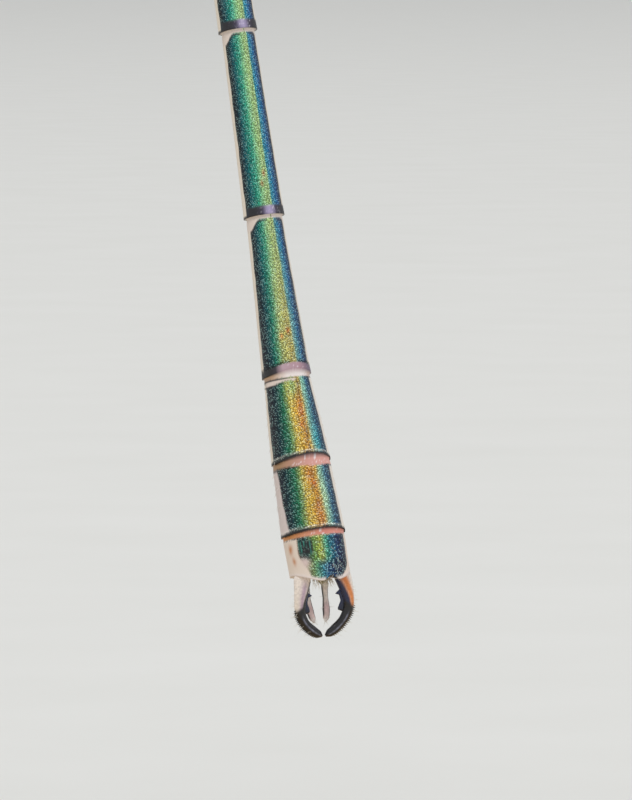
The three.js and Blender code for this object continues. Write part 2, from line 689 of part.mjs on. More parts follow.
root.add(meshOf("stand_base", baseSolid(), COLOURS.wood));
root.add(meshOf("stand_rod", rodSolid(), COLOURS.steel));

export default root;
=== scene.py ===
# %% [markdown]
# # An emerald damselfly at life size
# The real thing is a slim insect about 38 mm long that hangs from a stem with its tail free. The solids
# already say where every piece sits. This lesson gives them their looks: one skin for each soft part, painted
# by where a point lies on the body, so that no picture is needed.

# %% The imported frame
import math
import bpy
import numpy as np
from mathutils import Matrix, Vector


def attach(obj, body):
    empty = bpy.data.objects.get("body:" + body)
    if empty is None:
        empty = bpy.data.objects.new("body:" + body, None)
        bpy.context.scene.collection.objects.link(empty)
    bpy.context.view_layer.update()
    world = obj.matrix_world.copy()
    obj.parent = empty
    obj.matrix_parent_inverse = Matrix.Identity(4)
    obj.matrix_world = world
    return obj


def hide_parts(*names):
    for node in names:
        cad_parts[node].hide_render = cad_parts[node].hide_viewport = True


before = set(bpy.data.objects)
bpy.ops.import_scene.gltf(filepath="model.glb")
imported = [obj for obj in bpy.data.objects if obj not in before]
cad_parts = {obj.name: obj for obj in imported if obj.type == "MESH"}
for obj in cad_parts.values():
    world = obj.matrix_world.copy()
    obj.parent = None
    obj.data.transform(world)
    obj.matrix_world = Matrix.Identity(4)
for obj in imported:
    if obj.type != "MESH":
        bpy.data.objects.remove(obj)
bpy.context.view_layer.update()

# %% [markdown]
# ## Sizes and places
# The insect is built in frames that sit inside each other, as on a posed model: the whole insect leans a
# little, the thorax tilts on it, and the head nods on the thorax. All sizes are in millimetres and are turned
# into metres at the very end.

# %% Frames of the insect
MM = 0.001
SEED = 7
rng = np.random.default_rng(SEED)
BOTH = {"left": -1, "right": 1}


def turned(axis, degrees):
    """A 4 by 4 turn about a main axis."""
    c, s = math.cos(math.radians(degrees)), math.sin(math.radians(degrees))
    i, j = {"x": (1, 2), "y": (2, 0), "z": (0, 1)}[axis]
    made = np.eye(4)
    made[i, i] = made[j, j] = c
    made[i, j], made[j, i] = -s, s
    return made


def moved(x, y, z):
    """A 4 by 4 move."""
    made = np.eye(4)
    made[:3, 3] = x, y, z
    return made


def placed(points, place):
    """Points carried through a 4 by 4 frame."""
    return np.asarray(points) @ place[:3, :3].T + place[:3, 3]


def unit(vectors):
    """Vectors brought to a length of 1."""
    return vectors / np.linalg.norm(vectors, axis=-1, keepdims=True)


def round_angles(count):
    """Angles evenly round a circle, in radians."""
    return np.linspace(0, 2 * np.pi, count, endpoint=False)


BODY_LEAN, THORAX_TILT, HEAD_NOD = 3.5, 27, 12
HEAD_AT = (0, 0.1, 7.15)
ABDOMEN = [
    # length, front, middle and rear radius, tilt from a plumb line
    (0.95, 0.64, 0.62, 0.58, 24), (2.1, 0.55, 0.54, 0.47, 22), (4.3, 0.43, 0.39, 0.42, 19),
    (4.7, 0.38, 0.37, 0.42, 16.5), (4.5, 0.37, 0.38, 0.42, 14.5), (4.1, 0.36, 0.4, 0.44, 13),
    (3.5, 0.39, 0.46, 0.53, 13), (1.88, 0.495, 0.58, 0.635, 13), (1.58, 0.62, 0.655, 0.69, 13),
    (0.86, 0.665, 0.655, 0.645, 13),
]
VEER_FROM, TAIL_VEER = 8, 1.6
BASE_HEIGHT, TAIL_CLEARANCE, FORCEPS_DROP = 3.0, 7.0, 1.2
WAIST_FORWARD = 3.0
tail_drop = sum(length * math.cos(math.radians(tilt)) for length, *_, tilt in ABDOMEN)
WAIST_HEIGHT = BASE_HEIGHT + TAIL_CLEARANCE + (tail_drop + FORCEPS_DROP) * math.cos(math.radians(BODY_LEAN))

INSECT = moved(0, WAIST_FORWARD, WAIST_HEIGHT) @ turned("y", -BODY_LEAN)
THORAX = INSECT @ turned("x", -THORAX_TILT)
HEAD = THORAX @ moved(*HEAD_AT) @ turned("x", -HEAD_NOD)
print("waist height in mm:", round(WAIST_HEIGHT, 2))

# %% [markdown]
# ## Meshes from rings
# Nearly every piece here is a loft: a row of rings joined by quads, with a fan at each end. Arrays make that
# quick, and the same function serves the body, the legs, the veins and each hair.

# %% Lofts


def loft(rings, uv=None, tags=None):
    """A closed skin over rings of shape (count, sides, 3), as a dict of points, faces, uv and tags."""
    count, sides, _ = rings.shape
    rows = np.arange(count - 1)[:, None] * sides
    here = np.arange(sides)[None, :]
    there = (here + 1) % sides
    after = rows + sides
    quads = np.stack([rows + here, rows + there, after + there, after + here], -1).reshape(-1, 4)
    points = np.vstack([rings.reshape(-1, 3), rings[0].mean(0), rings[-1].mean(0)])
    ends, last_row = count * sides, (count - 1) * sides
    near = np.stack([np.full(sides, ends), there[0], here[0]], -1)
    far = np.stack([np.full(sides, ends + 1), here[0] + last_row, there[0] + last_row], -1)
    made = {"points": points, "quads": quads, "tris": np.vstack([near, far]), "tags": {}}
    if uv is not None:
        full_turn = (uv[:, -1, 0] - uv[:, 0, 0]).mean() * sides / (sides - 1)
        wide = np.concatenate([uv, uv[:, :1] + [[[full_turn, 0]]]], 1)
        corners = [wide[:-1, :-1], wide[:-1, 1:], wide[1:, 1:], wide[1:, :-1]]
        made["quad_uv"] = np.stack(corners, 2).reshape(-1, 4, 2)
    for name, values in (tags or {}).items():
        ends = [values[k].reshape(sides, -1).mean(0) for k in (0, -1)]
        made["tags"][name] = np.vstack([values.reshape(count * sides, -1), *ends])
    a, b, c, d = (points[quads[:, k]] - points.mean(0) for k in range(4))
    if np.einsum("ij,ij->", a, np.cross(b, c) + np.cross(c, d)) < 0:  # inside out
        for key in {"quads", "tris", "quad_uv"} & set(made):
            made[key] = made[key][:, ::-1]
    return made


def merged(shapes):
    """Several shapes as one, with the tags of the first."""
    offsets = np.cumsum([0] + [len(s["points"]) for s in shapes[:-1]])
    made = {key: np.vstack([s[key] + o for s, o in zip(shapes, offsets)]) for key in ("quads", "tris")}
    made["points"] = np.vstack([s["points"] for s in shapes])
    made["tags"] = {tag: np.vstack([s["tags"][tag] for s in shapes]) for tag in shapes[0]["tags"]}
    return made


def ball(centre, radii, sides=32, steps=18, pole=0.04):
    """An egg of rings, left open by a small angle at its poles."""
    down = np.linspace(pole, np.pi - pole, steps)[:, None]
    around = round_angles(sides)[None, :]
    x, y, z = np.sin(down) * np.cos(around), np.sin(down) * np.sin(around), np.cos(down) + 0 * around
    return loft(np.stack([x, y, z], -1) * np.array(radii) + np.array(centre))


print("triangles of a ball:", 2 * len(ball((0, 0, 0), (1, 1, 1))["quads"]) + 2 * 32)

# %% [markdown]
# ## Pieces
# Each piece is one mesh in world metres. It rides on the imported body, says which kind of material it has, and
# names the solids it takes the place of.

# %% Pieces


def piece(name, shape, place, finish, nodes=()):
    """A Blender object of a shape, in world metres, that rides on the frame and stands for CAD nodes."""
    points = placed(shape["points"], place) * MM
    quads, tris = shape["quads"], shape["tris"]
    mesh = bpy.data.meshes.new(name)
    mesh.vertices.add(len(points))
    mesh.vertices.foreach_set("co", points.astype(np.float32).ravel())
    loops = np.concatenate([quads.ravel(), tris.ravel()])
    mesh.loops.add(len(loops))
    mesh.loops.foreach_set("vertex_index", loops.astype(np.int32))
    sizes = np.repeat([4, 3], [len(quads), len(tris)])
    mesh.polygons.add(len(sizes))
    mesh.polygons.foreach_set("loop_start", (np.cumsum(sizes) - sizes).astype(np.int32))
    mesh.polygons.foreach_set("loop_total", sizes.astype(np.int32))
    mesh.polygons.foreach_set("use_smooth", np.ones(len(sizes), bool))
    if "quad_uv" in shape:
        uv = np.zeros((len(loops), 2), np.float32)
        uv[: quads.size] = shape["quad_uv"].reshape(-1, 2)
        mesh.uv_layers.new(name="cuticle").data.foreach_set("uv", uv.ravel())
    for tag, values in shape["tags"].items():
        if values.shape[1] == 1:
            kind, field = "FLOAT", "value"
        else:
            kind, field, values = "FLOAT_COLOR", "color", np.column_stack([values, np.ones(len(values))])
        mesh.attributes.new(tag, kind, "POINT").data.foreach_set(field, values.astype(np.float32).ravel())
    mesh.update(calc_edges=True)
    mesh.validate()
    made = bpy.data.objects.new(name, mesh)
    bpy.context.scene.collection.objects.link(made)
    mesh.materials.append(finish)
    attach(made, "root")
    if nodes:
        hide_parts(*nodes)
    print(f"{name}: {len(points)} points, {2 * len(quads) + len(tris)} triangles")
    return made


# %% [markdown]
# ## Curves, tubes and hairs
# A tube needs a frame that doesn't twist along its curve. Each step turns the last frame just enough to
# follow the curve, which is steadier than working from curvature on nearly straight limbs.

# %% Tubes and hairs
HAIR_SIDES, HAIR_TIP = 4, 0.12
HAIR_UP = (0.3, -0.9, 0.2)
CURVE_STEPS = 24


def eased(x, low, high):
    """0 below low, 1 above high, and a smooth rise between them."""
    t = np.clip((np.asarray(x, float) - low) / (high - low), 0, 1)
    return t * t * (3 - 2 * t)


def falling(x, low, high):
    """1 below low, 0 above high."""
    return 1 - eased(x, low, high)


def bell(x, middle, width):
    """1 at the middle, falling off to both sides."""
    return np.exp(-(((x - middle) / width) ** 2))


def between(stops, count):
    """Evenly spaced values along a row of (share, value) stops."""
    return np.interp(np.linspace(0, 1, count), *zip(*stops))


def curve_through(points, count):
    """A smooth row of points through a few given ones, evenly spaced along it."""
    points = np.asarray(points, float)
    padded = np.vstack([2 * points[0] - points[1], points, 2 * points[-1] - points[-2]])
    t = np.linspace(0, 1, CURVE_STEPS, endpoint=False)[:, None]
    fine = []
    for k in range(1, len(padded) - 2):
        p0, p1, p2, p3 = padded[k - 1 : k + 3]
        square, cube = 2 * p0 - 5 * p1 + 4 * p2 - p3, 3 * p1 - p0 - 3 * p2 + p3
        fine.append(0.5 * (2 * p1 + (p2 - p0) * t + square * t**2 + cube * t**3))
    fine = np.vstack([*fine, points[-1:]])
    lengths = np.concatenate([[0], np.cumsum(np.linalg.norm(np.diff(fine, axis=0), axis=1))])
    wanted = np.linspace(0, lengths[-1], count)
    return np.stack([np.interp(wanted, lengths, fine[:, a]) for a in range(3)], 1)


def tube(path, radii, sides, flat=1.0, up=(0, -1, 0)):
    """A tube along a path, with a radius for each point; flat squeezes it across the up direction."""
    path = np.asarray(path, float)
    ways = unit(np.gradient(path, axis=0))
    normal = np.array(up, float)
    angles = round_angles(sides)
    rings = []
    for point, way, radius in zip(path, ways, np.broadcast_to(radii, len(path))):
        normal = unit(normal - way * (normal @ way))
        side = np.cross(way, normal)
        circle = flat * np.cos(angles)[:, None] * normal + np.sin(angles)[:, None] * side
        rings.append(point + radius * circle)
    shares = np.repeat(np.linspace(0, 1, len(path))[:, None], sides, 1)
    return loft(np.array(rings), tags={"share": shares, "round": np.repeat(angles[None, :], len(path), 0)})


def hairs(roots, ways, lengths, radius, bend=0.25, steps=4):
    """Many tapered, slightly bent hairs as one shape."""
    made = []
    t = np.linspace(0, 1, steps)[:, None]
    for root, way, length in zip(roots, unit(np.asarray(ways, float)), np.broadcast_to(lengths, len(roots))):
        droop = rng.normal(size=3) * bend
        path = root + way * length * t + droop * length * t**2 * 0.5
        made.append(tube(path, radius * np.linspace(1, HAIR_TIP, steps), HAIR_SIDES, up=HAIR_UP))
    return merged(made)


print("points on a curve through three:", len(curve_through([(0, 0, 0), (1, 0, 0), (1, 1, 0)], 10)))

# %% [markdown]
# ## Colour and coats of paint
# Colours are written as the hex values a painter would pick on screen, and Blender wants them linear. A coat
# holds the colour of every point and how metallic it is. Paint goes on in layers, as on a real model, and a
# layer of plain paint hides the metal under it.

# %% Colours and coats


def linear(code):
    """A hex colour as linear red, green and blue."""
    rgb = np.array([int(code[i : i + 2], 16) for i in (1, 3, 5)]) / 255
    return np.where(rgb <= 0.04045, rgb / 12.92, ((rgb + 0.055) / 1.055) ** 2.4)


def ramp(values, stops):
    """Linear colours along a row of (value, hex) stops."""
    places, codes = zip(*stops)
    colours = np.array([linear(code) for code in codes])
    return np.stack([np.interp(values, places, colours[:, k]) for k in range(3)], -1)


class Coat:
    """The colour and the share of metal of every point, painted in layers."""

    def __init__(self, colour, metal=1.0):
        self.colour, self.metal = colour, metal * np.ones(colour.shape[:-1])

    def tint(self, paint, mask):
        """A hex colour, or colours, over those below where the mask is 1."""
        paint = linear(paint) if isinstance(paint, str) else paint
        self.colour = self.colour * (1 - mask[..., None]) + paint * mask[..., None]

    def bare(self, mask):
        """Takes the metal away where the mask is 1."""
        self.metal = self.metal * (1 - mask)

    def lay(self, paint, mask, strength=1.0):
        """Plain paint, which hides the metal where the mask is 1."""
        self.tint(paint, strength * mask)
        self.bare(mask)

    def tags(self):
        """What the points carry into the material."""
        return {"paint": self.colour, "metal": self.metal[..., None]}


def coloured(shape, code):
    """A shape in one plain colour."""
    shape["tags"] = {"paint": np.tile(linear(code), (len(shape["points"]), 1))}
    return shape


print("a cuticle green in linear light:", linear("#168878").round(3))

# %% [markdown]
# ## Building materials
# A single function adds each node with its settings and links. A few short ones stand for the steps that
# every finish here needs: carrying a value to a new range, noise in the object's own space, and bump.

# %% Material helpers


def node(tree, kind, settings=None, **inputs):
    """Adds a node, sets its settings, and sets or links its inputs by name or number."""
    made = tree.nodes.new(kind)
    for key, value in (settings or {}).items():
        setattr(made, key, value)
    for key, value in inputs.items():
        socket = made.inputs[int(key[1:])] if key[1:].isdigit() else made.inputs[key.replace("_", " ")]
        if isinstance(value, bpy.types.NodeSocket):
            tree.links.new(value, socket)
        else:
            socket.default_value = value
    return made


def new_material(name):
    """A material with an empty node tree, and the tree."""
    made = bpy.data.materials.new(name)
    made.use_nodes = True
    made.node_tree.nodes.clear()
    return made, made.node_tree


def ranged(tree, value, start, end, low=0.0, high=1.0):
    """A value carried from one range to another."""
    return node(tree, "ShaderNodeMapRange", None, Value=value, i1=start, i2=end, i3=low, i4=high).outputs[0]


def maths(tree, operation, a, b):
    """One sum of two values."""
    return node(tree, "ShaderNodeMath", {"operation": operation}, i0=a, i1=b).outputs[0]


def scaled(tree, colour, factor):
    """A colour made darker or brighter."""
    return node(tree, "ShaderNodeVectorMath", {"operation": "SCALE"}, i0=colour, Scale=factor).outputs[0]


def painted(tree):
    """The paint laid on the points."""
    return node(tree, "ShaderNodeAttribute", {"attribute_name": "paint"}).outputs["Color"]


def noise(tree, detail, scale=1.0, stretch=None):
    """Noise in the object's own space, in waves to the metre, stretched along the axes if told."""
    place = node(tree, "ShaderNodeTexCoord").outputs["Object"]
    if stretch:
        place = node(tree, "ShaderNodeMapping", None, Vector=place, Scale=stretch).outputs[0]
    return node(tree, "ShaderNodeTexNoise", None, Vector=place, Scale=scale, Detail=detail).outputs[0]


def blend(tree, factor, low, high):
    """A mix of two hex colours."""
    ends = {"A": (*linear(low), 1), "B": (*linear(high), 1)}
    return node(tree, "ShaderNodeMix", {"data_type": "RGBA"}, Factor=factor, **ends).outputs["Result"]


def bumped(tree, height, strength, depth_mm):
    """Bump from a height, with its depth in millimetres."""
    bump = node(tree, "ShaderNodeBump", None, Strength=strength, Distance=depth_mm * MM, Height=height)
    return bump.outputs[0]


def surfaced(tree, **settings):
    """Ends a material in one surface."""
    skin = node(tree, "ShaderNodeBsdfPrincipled", None, **settings)
    node(tree, "ShaderNodeOutputMaterial", None, Surface=skin.outputs[0])


print("materials so far:", len(bpy.data.materials))

# %% [markdown]
# ## The metallic cuticle
# The body's green isn't a pigment. Thin layers in the hard skin, the cuticle, throw back green and gold where
# the back faces up and blue and violet where it turns away, and the surface between is covered in fine
# overlapping ripples about 0.04 mm apart. The colour is laid on as a point attribute that follows the angle
# round the body, and the ripples are slanted rows of small cells in bump and colour: each ripple has a painted
# bright core and painted shade in its hollows, and some carry a painted white glint.

# %% Cuticle material
RIPPLE_MM, RIPPLE_DEPTH_MM = 0.036, 0.008
RIPPLES_ROUND, RIPPLES_ALONG = 0.85 / RIPPLE_MM, 1.4 / RIPPLE_MM
# the painted glints: a nearly white highlight painted on some ripples, and how strong it is
PAINTED_GLINT, PAINTED_GLINT_STRENGTH = "#b4d9cf", 0.62
CHITIN_IOR = 1.56


def cuticle_material():
    """Layered chitin as metal foil under a thin clear coat, with painted highlights on its ripples and painted
    shade between them.
    """
    made, tree = new_material("layered_chitin_rippled")
    shine = node(tree, "ShaderNodeAttribute", {"attribute_name": "metal"}).outputs["Fac"]
    place = node(tree, "ShaderNodeUVMap", {"uv_map": "cuticle"}).outputs[0]
    rows = node(tree, "ShaderNodeMapping", None, Vector=place, Scale=(RIPPLES_ROUND, RIPPLES_ALONG, 1))
    cells = node(tree, "ShaderNodeTexVoronoi", {"voronoi_dimensions": "2D", "feature": "F1"},
                 Vector=rows.outputs[0], Scale=1.0, Randomness=1.0)
    apart = cells.outputs["Distance"]
    tint = node(tree, "ShaderNodeSeparateColor", None, Color=cells.outputs["Color"])
    # painted light and shade: each ripple has a painted bright core of its own strength, and its hollows are
    # painted dark
    core = ranged(tree, apart, 0.12, 0.55, 1.0, 0.0)
    grained = maths(tree, "MULTIPLY", core, ranged(tree, tint.outputs[0], 0.1, 0.9, 0.3, 1.7))
    light = ranged(tree, grained, 0.0, 1.4, 0.42, 1.8)
    painted_speck_light = node(tree, "ShaderNodeMix", {"data_type": "FLOAT"}, Factor=shine, i2=1.0, i3=light).outputs[0]
    # painted glints: about every third ripple also gets a nearly white painted highlight
    painted_glint_share = maths(tree, "MULTIPLY", ranged(tree, tint.outputs[1], 0.5, 0.9, 0.0, PAINTED_GLINT_STRENGTH), core)
    glow = scaled(tree, linear(PAINTED_GLINT), maths(tree, "MULTIPLY", painted_glint_share, shine))
    ground = scaled(tree, painted(tree), painted_speck_light)
    lit = node(tree, "ShaderNodeVectorMath", {"operation": "ADD"}, i0=ground, i1=glow)
    domes = maths(tree, "MULTIPLY", maths(tree, "SUBTRACT", 1.0, apart), shine)
    surfaced(tree, Base_Color=lit.outputs[0], Metallic=maths(tree, "MULTIPLY", shine, 0.7),
             Roughness=ranged(tree, shine, 0.0, 1.0, 0.55, 0.36), IOR=CHITIN_IOR,
             Normal=bumped(tree, domes, 0.4, RIPPLE_DEPTH_MM), Coat_Weight=0.12, Coat_Roughness=0.2)
    return made


cuticle = cuticle_material()
print("cuticle ripples in mm:", RIPPLE_MM)

# %% [markdown]
# ## Hard and soft skin
# The rest of the insect is plain chitin, black or cream. Where it is thick, as on forceps, legs and bristles,
# it is smooth and shines like horn. Where it is thin and has to bend it is matt. Both have a grain that is
# only just fine enough to be felt, and take their colour from the points.

# %% Painted material


def painted_material(name, roughness, bump_mm, grain_mm, coat=0.0, ior=1.54, gloss=0.5):
    """Skin in the colour of its points, with a fine grain that breaks up its shine."""
    made, tree = new_material(name)
    grain = noise(tree, 2.0, 1 / (grain_mm * MM))
    colour = scaled(tree, painted(tree), ranged(tree, grain, 0.3, 0.7, 0.82, 1.12))
    surfaced(tree, Base_Color=colour, Roughness=roughness, IOR=ior, Specular_IOR_Level=gloss,
             Normal=bumped(tree, grain, 0.5, bump_mm), Coat_Weight=coat, Coat_Roughness=0.15)
    return made


# polished horn gives sharp highlights, and soft skin a dull, even glow
horn = painted_material("hard_chitin_polished", 0.26, 0.01, 0.05, coat=0.2, gloss=0.45)
soft_skin = painted_material("soft_chitin_matt", 0.5, 0.008, 0.06)
print("materials:", [material.name for material in bpy.data.materials])

# %% [markdown]
# ## The abdomen
# Ten segments telescope into each other. Each has a narrower neck at the front, a body that swells, and a
# thin raised rim at the rear. One continuous skin is lofted over all ten, with the colour worked out from the
# angle round the body, measured from the middle of the back, and from the place along each segment.

# %% Rings of the abdomen
SIDES, STEP_MM, FEWEST_STEPS, SMOOTHED = 160, 0.03, 12, 20
NECK_SHRINK, NECK_LONG = 0.02, 0.16
RIM_HEIGHT, RIM_START, RIM_FULL = 0.003, 0.12, 0.05
FORCEPS_SWING = 2.0
phi = np.linspace(-180, 180, SIDES, endpoint=False)


def segment_radius(x, length, front, middle, rear):
    """Radius at a distance from the front joint: a neck, a swelling body and a rim."""
    body = np.interp(x, [0, 0.3 * length, 0.55 * length, length], [front, (front + middle) / 2, middle, rear])
    rim = RIM_HEIGHT * eased(x, length - RIM_START, length - RIM_FULL)
    return body * (1 - NECK_SHRINK * falling(x, 0.0, NECK_LONG)) + rim


def abdomen_rings():
    """Centre, tilt, radius, segment number and distance from its front joint of every ring, and the end."""
    rows, joint = [], np.zeros(3)
    for number, (length, *radii, tilt) in enumerate(ABDOMEN, 1):
        veer, lean = math.radians(TAIL_VEER if number >= VEER_FROM else 0), math.radians(tilt)
        way = np.array([math.sin(veer), -math.sin(lean) * math.cos(veer), -math.cos(lean) * math.cos(veer)])
        for x in np.linspace(0, length, max(FEWEST_STEPS, int(length / STEP_MM))):
            rows.append((*(joint + way * x), tilt, segment_radius(x, length, *radii), number, x))
        joint = joint + way * length
    return np.array(rows), joint


ring_rows, tail_end = abdomen_rings()
centres, (tilts, radii, numbers, places) = ring_rows[:, :3], ring_rows[:, 3:].T
numbers = numbers.astype(int)
window = 2 * SMOOTHED + 1
tilts = np.convolve(np.pad(tilts, SMOOTHED, mode="edge"), np.ones(window) / window, mode="valid")
TAIL = INSECT @ moved(*tail_end) @ turned("x", -ABDOMEN[-1][-1]) @ turned("y", -TAIL_VEER)
FORCEPS = TAIL @ turned("y", FORCEPS_SWING)
print("rings:", len(centres), "end of the tail in mm:", tail_end.round(2))

# %% [markdown]
# The rear edges of segments 7 to 9 are bowed forward in the middle of the back. That of segment 10 runs
# further back there, with a small notch. Each is a shift of the ring along the body by its angle. Segment 2
# has a keel below, and the belly is a little flatter than the back.

# %% Skin of the abdomen
REAR_BOW = {7: 0.1, 8: 0.12, 9: 0.07, 10: -0.24}
NOTCH_DEPTH, NOTCH_WIDE = 0.13, 10.0
KEEL_DEPTH, KEEL_WIDE, KEEL_AT, KEEL_LONG = 0.26, 16.0, 0.52, 0.26
BELLY, BELLY_FROM, BACK = 0.94, 120, 1.03
length = np.array([row[0] for row in ABDOMEN])[numbers - 1]
share = (places / length)[:, None]
n = numbers[:, None]


def abdomen_points():
    """Points of every ring, with the keel, the flatter belly and the bowed rear edges."""
    turn, tilt = np.radians(phi)[None, :], np.radians(tilts)[:, None]
    radius = radii[:, None] * np.where(np.abs(phi) > BELLY_FROM, BELLY, 1.0)
    keel = bell((phi - 180) % 360, 0, KEEL_WIDE) + bell((180 - phi) % 360, 0, KEEL_WIDE)
    radius = radius + KEEL_DEPTH * keel * bell(share, KEEL_AT, KEEL_LONG) * (n == 2)
    bow = np.select([n == number for number in REAR_BOW], list(REAR_BOW.values()), 0.0)
    shift = bow * eased(share, 0.2, 1.0) * np.cos(turn) ** 2 * (np.abs(phi) < 90)
    shift = shift + (n == 10) * NOTCH_DEPTH * bell(phi, 0, NOTCH_WIDE) * eased(share, 0.75, 1.0)
    back = radius * np.cos(turn) * BACK
    ahead, above = shift * np.sin(tilt) - back * np.cos(tilt), back * np.sin(tilt) + shift * np.cos(tilt)
    return centres[:, None, :] + np.stack([radius * np.sin(turn), ahead, above], -1)


rings = abdomen_points()
print("abdomen rings:", rings.shape)

# %% [markdown]
# ## Painting the abdomen
# Seen along the back, the left of the middle line is green going to gold, the right is blue, and both sides
# fall to near black before a cream stripe along the flank. The green, gold and cream are the insect's own;
# the blue of the right half and the near black of the sides are painted sheen, the metal as it looks under
# these lamps. Segments 8 and 9 are the most golden, with orange clouds and scars, and patches of mint and
# turquoise beside the gold.

# %% Colours round the body
# painted sheen: the blue right half and the near-black sides of these ramps paint how the metal looks under the
# lamps; the green, gold and cream are its own colours
SLIM = [
    # degrees round the body from the middle of the back, colour
    (-180, "#8d8078"), (-168, "#cfc2ae"), (-110, "#e3d7c2"), (-92, "#efe6d6"), (-89, "#e9dccb"),
    (-86, "#0b0d18"), (-70, "#0a1a26"), (-61, "#0b3b48"), (-51, "#0e646c"), (-39, "#168878"),
    (-28, "#3ca684"), (-16, "#8fc888"), (-6, "#b3d88c"), (4, "#b4d88e"), (8, "#1f8798"),
    (15, "#10789c"), (26, "#0f5a92"), (36, "#0a3468"), (44, "#0a1634"), (48, "#0b0f20"),
    (51, "#e6d9c8"), (80, "#efe6d6"), (110, "#e3d7c2"), (168, "#cfc2ae"), (180, "#8d8078"),
]
BROAD = [
    (-180, "#8d8078"), (-168, "#d8cbb8"), (-110, "#e6dacb"), (-95, "#efe6da"), (-92, "#e9dfd4"),
    (-89, "#10121c"), (-68, "#14202e"), (-57, "#123c44"), (-47, "#186450"), (-39, "#2f8058"),
    (-31, "#86a056"), (-23, "#d0b24a"), (-12, "#dfae42"), (-2, "#dc9c42"), (5, "#d8b052"),
    (10, "#93b492"), (18, "#4f8b8e"), (27, "#2c6080"), (36, "#1d4468"), (43, "#121c36"),
    (47, "#e9dfd4"), (84, "#efe6da"), (110, "#e6dacb"), (168, "#d8cbb8"), (180, "#8d8078"),
]
MARKS = [
    # segment, mm from its front, degrees, half length in mm, half width in degrees, strength, colour
    (6, 3.2, -5, 0.07, 5, 0.85, "#d9763a"), (6, 3.42, -14, 0.07, 5, 0.85, "#c9854e"),
    (7, 2.65, -3, 0.07, 5, 0.85, "#dd7a3a"), (7, 2.75, -20, 0.07, 5, 0.85, "#d98f4a"),
    (8, 0.9, -3, 0.07, 5, 0.85, "#e07038"), (8, 1.2, -9, 0.07, 5, 0.85, "#e88a4a"),
    (9, 0.55, -4, 0.07, 5, 0.85, "#e0703c"), (9, 1.05, -3, 0.07, 5, 0.85, "#e2884e"),
    (8, 0.8, -4, 0.3, 7, 0.75, "#de8438"), (9, 0.35, -10, 0.22, 8, 0.75, "#de8438"),
    (9, 1.3, -2, 0.3, 8, 0.75, "#de8438"), (9, 0.85, 13, 0.5, 8, 0.65, "#b9d9a4"),
    (8, 1.5, 19, 0.3, 9, 0.65, "#1f9aa6"), (8, 0.3, 14, 0.25, 7, 0.65, "#7fb9a0"),
]


def wavy(scale, seed):
    """Soft noise over the rings, about -1 to 1, made of a few sine waves."""
    draw = np.random.default_rng(seed)
    along = (places + numbers * 7.3)[:, None]
    total = np.zeros((len(places), SIDES))
    for _ in range(7):
        fx, fy = draw.normal(size=2) * scale
        total += np.sin(fx * along + round(fy * 2) * np.radians(phi)[None, :] + draw.uniform(0, 6.28))
    return total / 4


def spot(x0, angle0, wide_x, wide_angle):
    """A soft spot on every segment, 1 in its middle."""
    return np.exp(-(((x - x0) / wide_x) ** 2) - (((angle - angle0) / wide_angle) ** 2))


# degrees round the body, mm from the front and mm from the rear of the segment, each with a slight waver
angle = phi[None, :] + 1.6 * wavy(5.0, 3)
x = places[:, None] + 0.01 * wavy(20.0, 5)
left = (length - places)[:, None] + 0.008 * wavy(24.0, 6)
off = np.abs(angle)


def body_coat():
    """The colours round the body with their painted sheen, the cream flanks, and the marks on the back."""
    widening = eased(share, 0.1, 0.9)
    broad = np.select([n >= 8, n == 7], [1.0, 0.15 + 0.4 * widening], 0.0) * np.ones_like(angle)
    flank = np.where(angle < 0, -81.0 - 10 * (n >= 8) - 6 * (n == 7) * widening, 50.0 - 4 * (n >= 8))
    metal = eased(angle, flank, flank + 3) * (angle < 0) + falling(angle, flank - 3, flank) * (angle >= 0)
    coat = Coat(ramp(angle, SLIM), metal)
    coat.tint(ramp(angle, BROAD), broad)
    coat.tint("#e9dccb", (1 - metal) * (angle < -60) * (angle > -100))
    # segment 9 carries a wide pale patch on its left flank, widest at the rear
    coat.lay("#d9cbc8", (n == 9) * falling(angle, -86 + 16 * share, -82 + 16 * share) * (angle < 0))
    # the front of segment 8 is greener than its middle
    coat.tint("#a9c06a", (n == 8) * falling(x, 0.25, 0.8) * spot(0.3, -14, 0.8, 14))
    # the dark middle line of the back ends with segment 8
    line = bell(angle, 0, 1.3) * eased(x, 0.0, 0.04) * (0.5 + 0.3 * (n == 8)) * (n < 9)
    coat.tint("#4a3a24", line * coat.metal)
    for number, at, round_at, long, wide, strength, code in MARKS:
        coat.tint(code, strength * (n == number) * spot(at, round_at, long, wide))
    return coat


coat = body_coat()
print("share of the skin that is metallic:", coat.metal.mean().round(3))

# %% [markdown]
# The joints are painted over the rest: dark violet and cream on the slim segments, pink on the broad ones.
# First comes the pale or pink band at the front of a segment, then the dark band at the rear of the one
# before it. Painted glints, small white painted highlights, break up the bands, and the violet bands carry a
# painted highlight along the middle of the back.

# %% Colours at the joints
# the dark joint bands: black at the sides, with a painted pale-lilac highlight at the middle of the back
VIOLET_WITH_PAINTED_HIGHLIGHT = [(0, "#0d0a14"), (0.4, "#2c2140"), (1, "#a598bc")]
MAUVE = [(-70, "#0d0a10"), (-45, "#2c2430"), (-28, "#b79aa4"), (10, "#b08a94"), (40, "#6d5a70")]
FRONTS = {
    # segment: width of its front band in mm, colours round the body
    8: (0.075, [(-60, "#c9a88c"), (-20, "#e9dcd8"), (20, "#eadfdc"), (50, "#cdb0a4")]),
    9: (0.13, [(-70, "#a8825c"), (-30, "#c08d7c"), (0, "#d69a90"), (50, "#e2a094")]),
    10: (0.085, [(-70, "#d9924e"), (-30, "#d08a6c"), (0, "#d58374"), (50, "#de9080")]),
}


def painted_glints(coarse, seed, fine, other_seed, threshold):
    """Painted glints: small bright painted highlights where two noises agree."""
    return np.clip(wavy(coarse, seed) * wavy(fine, other_seed) * 2.4 - threshold, 0, 1)


